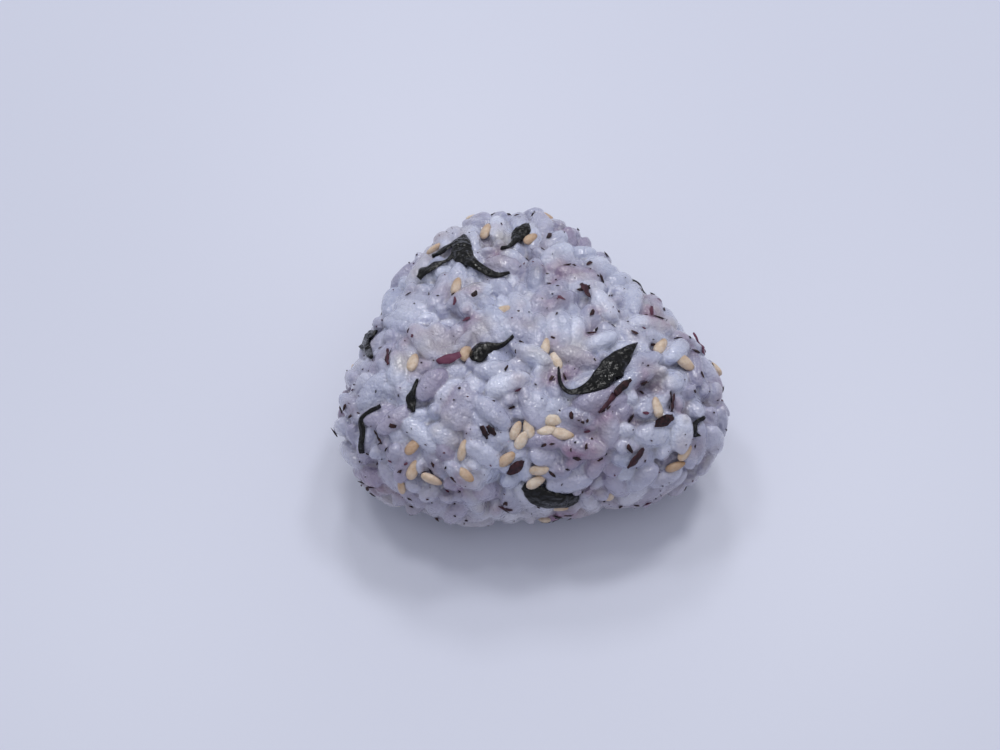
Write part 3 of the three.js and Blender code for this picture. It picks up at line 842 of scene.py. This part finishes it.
# %% Fused skin
VOXEL = 0.25
SOFTEN_ROUNDS = 1
SKIN_TRIANGLES = 190000
LUMP_HEIGHT = 0.04
LUMP_WAVES = 14
LUMP_SPAN = (2.0, 5.0)


def grid_faces(rows, columns):
    """Quads between the rows of a grid that closes round its columns."""
    row, column = np.meshgrid(np.arange(rows - 1), np.arange(columns), indexing="ij")
    here = row * columns + column
    beside = row * columns + (column + 1) % columns
    return np.stack([here, here + columns, beside + columns, beside], axis=-1).reshape(-1, 4)


def apply_modifiers(piece):
    """Keeps the shape that a piece's modifiers give, and removes them."""
    shaped = piece.evaluated_get(bpy.context.evaluated_depsgraph_get())
    piece.data = bpy.data.meshes.new_from_object(shaped)
    piece.modifiers.clear()


def fuse(piece):
    """Replaces a piece's overlapping shells by their one outer skin, thinned to the allowed triangles."""
    remesh = piece.modifiers.new("fuse", "REMESH")
    remesh.mode = "VOXEL"
    remesh.voxel_size = VOXEL * MM
    remesh.use_smooth_shade = True
    soften = piece.modifiers.new("soften", "SMOOTH")
    soften.iterations = SOFTEN_ROUNDS
    apply_modifiers(piece)
    thin = piece.modifiers.new("thin", "DECIMATE")
    thin.ratio = min(1.0, SKIN_TRIANGLES / (2 * len(piece.data.polygons)))
    apply_modifiers(piece)


def mesh_points(piece):
    """A piece's points in millimetres, and which way its surface faces there."""
    number = len(piece.data.vertices)
    points = np.empty(3 * number, np.float32)
    facing = np.empty(3 * number, np.float32)
    piece.data.vertices.foreach_get("co", points)
    piece.data.vertex_normals.foreach_get("vector", facing)
    return points.reshape(-1, 3).astype(float) / MM, facing.reshape(-1, 3).astype(float)


def lumps(points):
    """A small uneven height at points: a sum of plane waves, 2 to 5 mm long, in random directions."""
    ways = unit(random.normal(size=(LUMP_WAVES, 3)))
    waves = ways * (2 * np.pi / random.uniform(*LUMP_SPAN, (LUMP_WAVES, 1)))
    phases = random.uniform(0, 2 * np.pi, LUMP_WAVES)
    return LUMP_HEIGHT * np.sin(points @ waves.T + phases).sum(axis=1) / math.sqrt(LUMP_WAVES / 2)


cooked_rice = bpy.data.materials.new("cooked_rice")
grain_faces = pip_faces(count, ALONG, AROUND)
bed_faces = grid_faces(BED_ROWS, BED_COLUMNS) + grains[..., 0].size
rice_points = np.vstack([grains.reshape(-1, 3), bed_points.reshape(-1, 3)])
rice = make_piece("rice_grains", rice_points, np.vstack([grain_faces, bed_faces]), cooked_rice)
weld(rice)
fuse(rice)
skin_points, skin_facing = mesh_points(rice)
skin_points = skin_points + lumps(skin_points)[:, None] * skin_facing
skin_points[:, 2] = np.maximum(skin_points[:, 2], 0.0)
rice.data.vertices.foreach_set("co", (skin_points * MM).astype(np.float32).ravel())
rice.data.update()
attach(rice, "root")
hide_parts("rice_ball")
print("rice_grains:", len(rice.data.polygons), "faces,", len(skin_points), "points")

# %% [markdown]
# ## Colours that vary from grain to grain
#
# No two grains look alike: some are glassy and bluish, some chalky white, and those next to a flake are
# stained. These differences are stored on the skin as numbers, one for each point, and the material mixes
# its colours by them. Every point takes the numbers of the grain that it lies on.

# %% Tones
STAIN_REACH = 1.3
STAIN_STRENGTH = 0.45
STAIN_LENGTH = 1.2  # a flake of this length stains with its full weight
SKIN_CHUNK = 2500
CHALK_SPREAD = (0.8, 1.7)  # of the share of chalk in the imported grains
WHITE_CHALK = (0.85, 1.0)  # its range in the listed white grains
CLEAR_CHALK = (0.2, 0.6)  # and in the others
LILAC_SPREAD = (0.8, 3.5)
LILAC_MOST = 0.75
GRAIN_EDGE = (1.03, 0.2)  # where a point is off its grain, and over which distance it darkens to painted shade
SHADE_BELOW = (20.0, 12.0)  # the height below which painted shade makes the rice warmer and darker, and over which it turns


def grain_below(points):
    """Which grain each point lies on, and how far out of it: 1 on the grain's own surface, more beyond."""
    turn_in = into_grains()
    start = np.einsum("nij,nj->ni", turn_in, centres)
    which = np.zeros(len(points), int)
    level = np.zeros(len(points))
    for first in range(0, len(points), SKIN_CHUNK):
        part = slice(first, first + SKIN_CHUNK)
        local = np.einsum("nij,pj->pni", turn_in, points[part]) - start
        far = (local * local).sum(axis=2)
        which[part] = far.argmin(axis=1)
        level[part] = np.sqrt(far.min(axis=1))
    return which, level


def stain_at(points):
    """How strongly flakes stain points: a sum of bells round every flake, each as wide as the stain runs."""
    total = np.zeros(len(points))
    weight = np.clip(flake_lengths / STAIN_LENGTH, 0.15, 1.3)
    for first in range(0, len(points), SKIN_CHUNK):
        part = slice(first, first + SKIN_CHUNK)
        gap = ((points[part, None] - flake_places[None]) ** 2).sum(axis=2)
        total[part] = (weight * np.exp(-gap / (2 * STAIN_REACH**2))).sum(axis=1)
    return np.clip(STAIN_STRENGTH * total, 0, 1)


white_count = len(WHITE_GRAINS)
chalk = random.beta(*CHALK_SPREAD, count)
chalk[:white_count] = random.uniform(*WHITE_CHALK, white_count)
chalk[white_count:hero_count] = random.uniform(*CLEAR_CHALK, hero_count - white_count)
lilac = LILAC_MOST * random.beta(*LILAC_SPREAD, count)
lilac[:hero_count] = 0.05
lilac[hero_count - len(LILAC_GRAINS) : hero_count] = 0.6
on_grain, grain_level = grain_below(skin_points)
sunk = np.clip((grain_level - GRAIN_EDGE[0]) / GRAIN_EDGE[1], 0, 1)  # 1 in the starch between grains, which the material darkens with painted shade
low = np.clip((SHADE_BELOW[0] - skin_points[:, 2]) / SHADE_BELOW[1], 0, 1)  # 1 low on the sides, where shade is painted
skin_stain = stain_at(skin_points)
paint(rice, "chalk", chalk[on_grain] * (1 - 0.8 * sunk))
paint(rice, "lilac", lilac[on_grain] * (1 - 0.5 * sunk))
paint(rice, "stain", skin_stain)
paint(rice, "sunk", sunk)
paint(rice, "low", low)
print("mean stain", round(float(skin_stain.mean()), 3))
print("share between grains", round(float(sunk.mean()), 3))

# %% [markdown]
# ## Rice material
#
# Cooked rice lets light in, so its colour comes partly from below the surface: that is the shader's
# subsurface share. The wet skin gives small sharp glints, which fine bumps break up into sparkles. The
# colours are laid over each other, each by a number stored on the skin or by a noise.

# %% Rice material
GLASSY = (0.40, 0.43, 0.60, 1)
CHALKY = (0.70, 0.74, 0.92, 1)
CREAM = (0.42, 0.39, 0.38, 1)
# painted shade for the creases between the grains
CREASE_SHADE = (0.145, 0.125, 0.13, 1)
LILAC = (0.29, 0.245, 0.38, 1)
STAINED = (0.12, 0.07, 0.14, 1)
SHADY = (0.42, 0.35, 0.345, 1)
PINK = (0.40, 0.16, 0.34, 1)


def new_material(name):
    """A material with its nodes, a short way to link them, its shader and the object's coordinates."""
    material = bpy.data.materials.get(name) or bpy.data.materials.new(name)
    material.use_nodes = True
    nodes = material.node_tree.nodes
    coordinates = nodes.new("ShaderNodeTexCoord").outputs["Object"]
    return material, nodes, material.node_tree.links.new, nodes["Principled BSDF"], coordinates


def noise(nodes, link, where, scale, detail=3.0, roughness=0.55):
    """A noise texture on object coordinates; scale counts its lumps in a metre."""
    texture = nodes.new("ShaderNodeTexNoise")
    texture.inputs["Scale"].default_value = scale
    texture.inputs["Detail"].default_value = detail
    texture.inputs["Roughness"].default_value = roughness
    link(where, texture.inputs["Vector"])
    return texture.outputs["Fac"]


def reading(nodes, name):
    """The number that a piece stores under a name."""
    attribute = nodes.new("ShaderNodeAttribute")
    attribute.attribute_name = name
    return attribute.outputs["Fac"]


def ramp(nodes, link, value, low, high, to_low=0.0, to_high=1.0):
    """A value stretched from one range to another, and held at its ends."""
    stretch = nodes.new("ShaderNodeMapRange")
    for name, number in zip(("From Min", "From Max", "To Min", "To Max"), (low, high, to_low, to_high)):
        stretch.inputs[name].default_value = number
    link(value, stretch.inputs["Value"])
    return stretch.outputs["Result"]


def times(nodes, link, a, b, how="MULTIPLY", clamp=True):
    """Two numbers multiplied, or added if told so, and held between 0 and 1 unless told otherwise."""
    math_node = nodes.new("ShaderNodeMath")
    math_node.operation = how
    math_node.use_clamp = clamp
    for socket, value in zip(math_node.inputs, (a, b)):
        if isinstance(value, float):
            socket.default_value = value
        else:
            link(value, socket)
    return math_node.outputs["Value"]


def mix(nodes, link, share, first, second):
    """Two colours mixed by a share; each is a plain colour or comes from another node."""
    mixer = nodes.new("ShaderNodeMix")
    mixer.data_type = "RGBA"
    link(share, mixer.inputs["Factor"])
    for socket, colour in ((mixer.inputs[6], first), (mixer.inputs[7], second)):
        if isinstance(colour, tuple):
            socket.default_value = colour
        else:
            link(colour, socket)
    return mixer.outputs[2]


def bumps(nodes, link, height, strength, distance):
    """A normal that follows a height, `distance` metres high."""
    bump = nodes.new("ShaderNodeBump")
    bump.inputs["Strength"].default_value = strength
    bump.inputs["Distance"].default_value = distance
    link(height, bump.inputs["Height"])
    return bump.outputs["Normal"]


def let_light_in(shader, share, radius, scale):
    """Lets light wander below the surface: how much of it, how far in each colour, by a scale in metres."""
    shader.inputs["Subsurface Weight"].default_value = share
    shader.inputs["Subsurface Radius"].default_value = radius
    shader.inputs["Subsurface Scale"].default_value = scale


def rice_material():
    """Glassy to chalky rice stained lilac and pink by flakes; painted shade darkens the starch between grains
    and the low sides.
    """
    _, nodes, link, shader, where = new_material("cooked_rice")
    cloudy = noise(nodes, link, where, 380.0)
    patchy = noise(nodes, link, where, 110.0, 2.0)
    broad = noise(nodes, link, where, 60.0, 1.0)
    fine = noise(nodes, link, where, 1300.0, 2.0)
    uneven = ramp(nodes, link, cloudy, 0.3, 0.7, -0.2, 0.3)
    chalk_share = times(nodes, link, reading(nodes, "chalk"), uneven, "ADD")
    colour = mix(nodes, link, chalk_share, GLASSY, CHALKY)
    colour = mix(nodes, link, ramp(nodes, link, patchy, 0.52, 0.68, 0.0, 0.7), colour, CREAM)
    # painted shade, warmer and darker low on the sides
    colour = mix(nodes, link, times(nodes, link, reading(nodes, "low"), 0.5), colour, SHADY)
    # painted shade, dark in the creases between the grains
    colour = mix(nodes, link, times(nodes, link, reading(nodes, "sunk"), 0.65), colour, CREASE_SHADE)
    tinged = ramp(nodes, link, broad, 0.48, 0.64, 0.0, 0.3)
    lilac_share = times(nodes, link, reading(nodes, "lilac"), tinged, "ADD")
    colour = mix(nodes, link, lilac_share, colour, LILAC)
    stain = times(nodes, link, reading(nodes, "stain"), ramp(nodes, link, cloudy, 0.35, 0.65, 0.35, 1.0))
    colour = mix(nodes, link, times(nodes, link, stain, 0.8), colour, STAINED)
    pink_share = times(nodes, link, stain, ramp(nodes, link, patchy, 0.5, 0.6))
    colour = mix(nodes, link, times(nodes, link, pink_share, 0.45), colour, PINK)
    link(colour, shader.inputs["Base Color"])
    link(ramp(nodes, link, cloudy, 0.3, 0.7, 0.15, 0.35), shader.inputs["Roughness"])
    height = times(nodes, link, fine, cloudy, "ADD", clamp=False)
    grainy = bumps(nodes, link, height, 0.9, 0.0004)
    link(grainy, shader.inputs["Normal"])
    link(grainy, shader.inputs["Coat Normal"])
    let_light_in(shader, 0.5, (1.0, 0.97, 1.0), 0.0006)
    shader.inputs["IOR"].default_value = 1.42
    shader.inputs["Coat Weight"].default_value = 1.0
    shader.inputs["Coat Roughness"].default_value = 0.05


rice_material()
print("rice material ready")

# %% [markdown]
# ## Flakes on the rice
#
# The crumbs could be instances of one shape, but each is torn in its own way, so they are one mesh. A few of
# them have kept their red, and that too is a number stored on the mesh.

# %% Flake piece
LEAF_BLACK = (0.012, 0.008, 0.011, 1)
LEAF_BROWN = (0.06, 0.022, 0.026, 1)
LEAF_RED = (0.14, 0.045, 0.085, 1)
RED_FLAKES = 0.12  # the share of flakes that have kept their red
FLAKE_RED = 0.7


def flake_material():
    """Dried red leaf: nearly black, browner and redder in places, with a dull skin."""
    material, nodes, link, shader, where = new_material("dried_red_leaf")
    grainy = noise(nodes, link, where, 1600.0)
    colour = mix(nodes, link, ramp(nodes, link, grainy, 0.4, 0.7), LEAF_BLACK, LEAF_BROWN)
    colour = mix(nodes, link, reading(nodes, "red"), colour, LEAF_RED)
    link(colour, shader.inputs["Base Color"])
    link(ramp(nodes, link, grainy, 0.3, 0.7, 0.35, 0.6), shader.inputs["Roughness"])
    link(bumps(nodes, link, grainy, 0.5, 0.0001), shader.inputs["Normal"])
    shader.inputs["Specular IOR Level"].default_value = 0.2
    return material


dried_leaf = flake_material()
leaf_flakes = make_piece("leaf_flakes", flakes, flake_faces(len(flakes)), dried_leaf, smooth=False)
flake_red = np.where(random.uniform(0, 1, len(flakes)) < RED_FLAKES, FLAKE_RED, 0.0)
paint(leaf_flakes, "red", np.repeat(flake_red, FLAKE_CORNERS + 2))
weld(leaf_flakes)
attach(leaf_flakes, "root")
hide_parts("rice_ball")
print("leaf_flakes:", len(leaf_flakes.data.polygons), "faces")

# %% [markdown]
# ## Sesame seeds
#
# A hulled sesame seed is a flat drop, round at one end and pointed at the other. It is made as the grains
# are, from one parameter along it and one around it, and all seeds are one mesh.

# %% Sesame
SEED_ALONG = 8
SEED_AROUND = 10
SEED_SINK = 0.88
SEED_SINK_SPREAD = 0.4
SEED_SEAT = 1.0  # no seed is seated deeper below the outermost tops
SEED_TILT = 0.18
SEED_ROLL = 0.4
SEED_SCALES = (0.88, 1.06)
SEED_PALE = (0.76, 0.66, 0.58, 1)
SEED_TAN = (0.56, 0.44, 0.34, 1)
SEED_TOASTED = (0.40, 0.23, 0.12, 1)
TOASTED_SEEDS = 0.15  # the share of far seeds that are well toasted
TOASTED_TIP = 0.45


def seed_points(centres, axes, side, up, scale):
    """Points of all seeds: a flat drop whose widest place is nearer to its blunt end."""
    t, a = pip_grid(SEED_ALONG, SEED_AROUND)
    drop = np.maximum(0, 1 - np.abs(t) ** 2.2) ** 0.5 * (1 - 0.17 * (t + 0.2))
    size = scale[:, None, None]
    along = size * 0.5 * SEED_LENGTH * t
    across = size * 0.5 * SEED_WIDTH * drop * np.cos(a)
    high = size * 0.5 * SEED_THICKNESS * drop * np.sin(a)
    return placed(centres, (along, across, high), (axes, side, up))


def sesame_material():
    """Pale tan seed skin, browner at the point, with a soft sheen and fine pits."""
    material, nodes, link, shader, where = new_material("sesame_skin")
    mottled = noise(nodes, link, where, 1100.0)
    colour = mix(nodes, link, ramp(nodes, link, mottled, 0.35, 0.7), SEED_PALE, SEED_TAN)
    colour = mix(nodes, link, reading(nodes, "toast"), colour, SEED_TOASTED)
    link(colour, shader.inputs["Base Color"])
    link(ramp(nodes, link, mottled, 0.3, 0.7, 0.32, 0.5), shader.inputs["Roughness"])
    link(bumps(nodes, link, noise(nodes, link, where, 1400.0), 0.7, 0.0003), shader.inputs["Normal"])
    let_light_in(shader, 0.4, (1.0, 0.8, 0.6), 0.0006)
    return material


seed_ways = unit(seed_places - BODY_CENTRE)
seed_seats, _ = settle(seed_ways)
seed_reach = np.maximum(np.linalg.norm(seed_seats - BODY_CENTRE, axis=1), 1 / gauge(seed_ways, SEED_SEAT))
seed_normals = outward(seed_places)
seed_lift = 0.5 * SEED_THICKNESS - SEED_SINK - random.uniform(0, SEED_SINK_SPREAD, (seed_count, 1))
seed_centres = BODY_CENTRE + seed_reach[:, None] * seed_ways + seed_lift * seed_normals
tilt = random.normal(0, SEED_TILT, (seed_count, 1))
seed_axes = unit(seed_axes + tilt * seed_normals)
seed_side, seed_up = frames(seed_axes, seed_normals, random.normal(0, SEED_ROLL, seed_count))
seed_scale = random.uniform(*SEED_SCALES, seed_count)
seeds = seed_points(seed_centres, seed_axes, seed_side, seed_up, seed_scale)
seeds[..., 2] = np.maximum(seeds[..., 2], 0.0)
seed_faces = pip_faces(seed_count, SEED_ALONG, SEED_AROUND)
sesame = make_piece("sesame_seeds", seeds, seed_faces, sesame_material())
toast = np.where(random.uniform(0, 1, seed_count) < TOASTED_SEEDS, 0.6, random.uniform(0, 0.25, seed_count))
toast[: len(seen_seeds)] = seen_seeds[:, 3]
tip, _ = pip_grid(SEED_ALONG, SEED_AROUND)
paint(sesame, "toast", np.clip(toast[:, None, None] + TOASTED_TIP * np.maximum(0, tip) ** 2, 0, 1))
weld(sesame)
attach(sesame, "root")
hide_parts("rice_ball")
print("sesame_seeds:", seed_count, "seeds")

# %% [markdown]
# ## Seaweed
#
# Wet seaweed lies limp over the grains and shines. Each piece is a profile carried along its path: a flat
# loop, upper face and lower face, whose width changes along the way. The loop is laid on the grains by
# repeated blurring and lifting, as a wet leaf spans the gaps and drapes over the tops.

# %% Leaf surfaces
LEAF_STATIONS = 44
LEAF_ROWS = 11
LEAF_SINK = 0.02
LEAF_LOWEST = 1.5  # a leaf lies at most this deep below the outermost tops
LEAF_THICKNESS = (0.3, 0.28)  # how high a leaf's upper face bulges, and what half its width adds
LEAF_BELOW = 0.25  # the lower face bulges by this share of the upper one
NARROWEST = 0.1
RAGGED = 0.03
DRAPE_PASSES = 110
RIPPLE = 0.09
RIDGE = 0.09
SEAWEED_BLACK = (0.001, 0.001, 0.002, 1)
SEAWEED_DARK = (0.004, 0.004, 0.006, 1)
LEAF_PHASE = 1.7  # steps of the phase that makes each piece ripple in its own way
STRIP_PHASE = 0.9


def drape(under):
    """Heights of a limp sheet over `under`: its mean with its neighbours, lifted where it would sink in."""
    height = under.copy()
    for _ in range(DRAPE_PASSES):
        padded = np.pad(height, 1, mode="edge")
        mean = (padded[:-2, 1:-1] + padded[2:, 1:-1] + padded[1:-1, :-2] + padded[1:-1, 2:] + 2 * height) / 6
        height = np.maximum(mean, under)
    return height


def leaf_rings(path, widths, phase, plump=1.0, stations=LEAF_STATIONS, rows=LEAF_ROWS):
    """Rings of points round a leaf at stations along its path: the upper face one way, the lower one back.

    The leaf lies on the drape. Its section is a flat lens, thicker where it is wider, with ripples along
    it and ridges that run lengthwise.
    """
    middle = smooth_path(path, stations)
    share = np.linspace(0, 1, stations)[:, None]
    steps = np.arange(len(widths))
    outline = smooth_path(np.stack([steps, widths, 0 * steps], axis=-1), stations)
    half = np.interp(share[:, 0] * steps[-1], outline[:, 0], outline[:, 1])
    half = np.maximum(half, NARROWEST)[:, None] / 2
    along = unit(np.gradient(middle, axis=0))
    across = unit(np.cross(outward(middle), along))
    v = np.linspace(-1, 1, rows)[None]
    ragged = 1 + RAGGED * np.sin(19 * share + phase) + RAGGED * np.sin(47 * share + 2 * phase)
    spots = middle[:, None] + (half * ragged * v)[..., None] * across[:, None]
    ways = unit(spots - BODY_CENTRE)
    reach, _ = outermost(ways.reshape(-1, 3))
    under = np.maximum(reach.reshape(stations, rows), 1 / gauge(ways, LEAF_LOWEST))
    lie = drape(under) - LEAF_SINK
    ripple = RIPPLE * np.sin(13 * share + 1.6 * v + phase)
    ridge = RIDGE * np.minimum(half, 1) * np.cos(8 * v + phase + 1.5 * np.sin(5 * share))
    thick = plump * (LEAF_THICKNESS[0] + LEAF_THICKNESS[1] * half) * np.sqrt(1.02 - v**2)
    upper = BODY_CENTRE + (lie + ripple + ridge + thick)[..., None] * ways
    lower = BODY_CENTRE + (lie + ripple - LEAF_BELOW * thick)[..., None] * ways
    return np.concatenate([upper, lower[:, ::-1]], axis=1)


def leaf_faces(stations=LEAF_STATIONS, rows=LEAF_ROWS):
    """Quads round the loop between stations, and quads that close both ends."""
    columns = 2 * rows
    body = grid_faces(stations, columns)
    k = np.arange(rows - 1)
    cap = np.stack([k, k + 1, columns - 2 - k, columns - 1 - k], axis=1)
    last = (stations - 1) * columns
    return np.vstack([body, cap, last + cap[:, ::-1]])


def seaweed_material():
    """Wet seaweed: black, hardly paler in patches, with a glossy skin whose wrinkles catch the light."""
    material, nodes, link, shader, where = new_material("wet_seaweed")
    wrinkle = noise(nodes, link, where, 520.0, 2.0)
    patch = noise(nodes, link, where, 300.0)
    colour = mix(nodes, link, ramp(nodes, link, patch, 0.4, 0.65), SEAWEED_BLACK, SEAWEED_DARK)
    link(colour, shader.inputs["Base Color"])
    link(ramp(nodes, link, patch, 0.35, 0.7, 0.07, 0.16), shader.inputs["Roughness"])
    link(bumps(nodes, link, wrinkle, 1.0, 0.0010), shader.inputs["Normal"])
    shader.inputs["Specular IOR Level"].default_value = 0.3
    return material


wet_seaweed = seaweed_material()


def make_leaf(name, parts):
    """One seaweed piece from one or more leaves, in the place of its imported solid."""
    rings = np.stack([leaf_rings(path, widths, phase) for path, widths, phase in parts])
    rings[..., 2] = np.maximum(rings[..., 2], 0.0)
    faces = np.vstack([leaf_faces() + k * rings[0, ..., 0].size for k in range(len(rings))])
    piece = make_piece(name + "_wet", rings, faces, wet_seaweed)
    weld(piece)
    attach(piece, "root")
    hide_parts(name)


for number, name in enumerate([*LEAVES, *FAR_LEAVES]):
    path, widths_along = leaf_paths[name]
    make_leaf(name, [(path, widths_along, LEAF_PHASE * number)])
make_leaf("seaweed_fork", [(*leaf_paths[strip], STRIP_PHASE * k) for k, strip in enumerate(FORK)])
print(len(LEAVES) + len(FAR_LEAVES) + 1, "seaweed pieces")

# %% [markdown]
# ## Larger scraps
#
# A few scraps of the dried leaf are too large for crumbs. They are made as the seaweed is, thin and short,
# and take the crumbs' material, with more red in some of them.

# %% Scraps
SCRAPS = [  # pixels along the scrap, its widths, and how red it is
    ([(437, 362), (450, 359), (463, 355)], [0.7, 1.5, 0.8], 1.0),
    ([(629, 380), (621, 387), (613, 394)], [0.6, 1.6, 1.2], 0.0),
    ([(613, 394), (606, 404), (597, 412)], [1.1, 0.8, 0.4], 0.25),
    ([(654, 424), (664, 421), (674, 418)], [0.9, 1.9, 1.2], 0.0),
    ([(523, 462), (516, 470), (508, 478)], [0.6, 1.8, 0.9], 0.1),
    ([(626, 467), (637, 460), (648, 451)], [0.7, 1.7, 0.9], 0.1),
    ([(481, 426), (484, 433), (486, 440)], [0.7, 1.0, 0.4], 0.0),
    ([(487, 426), (491, 431), (495, 436)], [0.7, 1.2, 0.4], 0.0),
    ([(690, 334), (699, 342), (706, 353)], [0.7, 1.4, 0.8], 1.0),
    ([(388, 349), (387, 357), (390, 365)], [0.5, 1.0, 0.5], 0.3),
    ([(681, 394), (679, 403), (678, 413)], [0.5, 0.9, 0.6], 0.1),
    ([(372, 431), (374, 438), (379, 445)], [0.3, 0.5, 0.3], 0.0),
    ([(580, 286), (585, 291), (590, 297)], [0.8, 1.3, 0.6], 0.2),
    ([(498, 508), (505, 508), (513, 508)], [0.4, 0.6, 0.3], 0.2),
]
SCRAP_PLUMP = 0.45
SCRAP_STATIONS = 10
SCRAP_ROWS = 5
SCRAP_PHASE = 2.3

scrap_rings = np.stack([
    leaf_rings(cast(pixels, LEAF_DEPTH), across, SCRAP_PHASE * k, SCRAP_PLUMP, SCRAP_STATIONS, SCRAP_ROWS)
    for k, (pixels, across, _) in enumerate(SCRAPS)
])
one_scrap = leaf_faces(SCRAP_STATIONS, SCRAP_ROWS)
scrap_faces = np.vstack([one_scrap + k * scrap_rings[0, ..., 0].size for k in range(len(SCRAPS))])
leaf_scraps = make_piece("leaf_scraps", scrap_rings, scrap_faces, dried_leaf)
paint(leaf_scraps, "red", np.repeat([red for _, _, red in SCRAPS], scrap_rings[0, ..., 0].size))
weld(leaf_scraps)
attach(leaf_scraps, "root")
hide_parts("rice_ball")
print("leaf_scraps:", len(SCRAPS), "scraps")

# %% [markdown]
# ## Floor and light
#
# A plain pale floor and soft light show the rice as it is. An even sky and a large square light above and a
# little in front give the soft shade. Four smaller lights, above and behind, are there for the wet look: what
# shines mirrors them as glints, and the front side falls into shade.

# %% Stage
FLOOR_COLOUR = (0.64, 0.665, 0.81, 1)
FLOOR_REACH = 1500.0
FLOOR_SHADE = 0.96
SKY_COLOUR = (0.95, 0.97, 1.0, 1)
SKY_STRENGTH = 0.47
LIGHTS = {  # place and size in metres, and power: a broad soft light above, and small ones for the glints
    "soft_light": ((0.08, -0.22, 0.72), 0.60, 0.60),
    "left_glint": ((-0.20, 0.20, 0.60), 0.10, 0.50),
    "right_glint": ((0.20, 0.22, 0.58), 0.10, 0.62),
    "back_glint": ((0.00, 0.36, 0.50), 0.10, 0.45),
    "high_glint": ((0.03, 0.10, 0.68), 0.08, 0.25),
}


def floor_material():
    """A pale, slightly cool floor with a faint sheen and hardly visible clouds in its colour."""
    material, nodes, link, shader, where = new_material("pale_floor")
    cloud = noise(nodes, link, where, 6.0, 2.0)
    darker = tuple(FLOOR_SHADE * c for c in FLOOR_COLOUR[:3]) + (1,)
    link(mix(nodes, link, cloud, FLOOR_COLOUR, darker), shader.inputs["Base Color"])
    shader.inputs["Roughness"].default_value = 0.4
    return material


floor_corners = FLOOR_REACH * np.array([[-1, -1, 0], [1, -1, 0], [1, 1, 0], [-1, 1, 0]])
floor = make_piece("floor", floor_corners, np.array([[0, 1, 2, 3]]), floor_material(), smooth=False)

for name, (place, size_across, power) in LIGHTS.items():
    light = bpy.data.objects.new(name, bpy.data.lights.new(name, "AREA"))
    light.data.size = size_across
    light.data.energy = power
    light.location = place
    light.rotation_euler = (-Vector(place)).to_track_quat("-Z", "Y").to_euler()
    bpy.context.scene.collection.objects.link(light)

world = bpy.data.worlds.new("soft_sky")
world.use_nodes = True
world.node_tree.nodes["Background"].inputs["Color"].default_value = SKY_COLOUR
world.node_tree.nodes["Background"].inputs["Strength"].default_value = SKY_STRENGTH
bpy.context.scene.world = world
bpy.context.scene.view_settings.view_transform = "Standard"
print("stage ready")
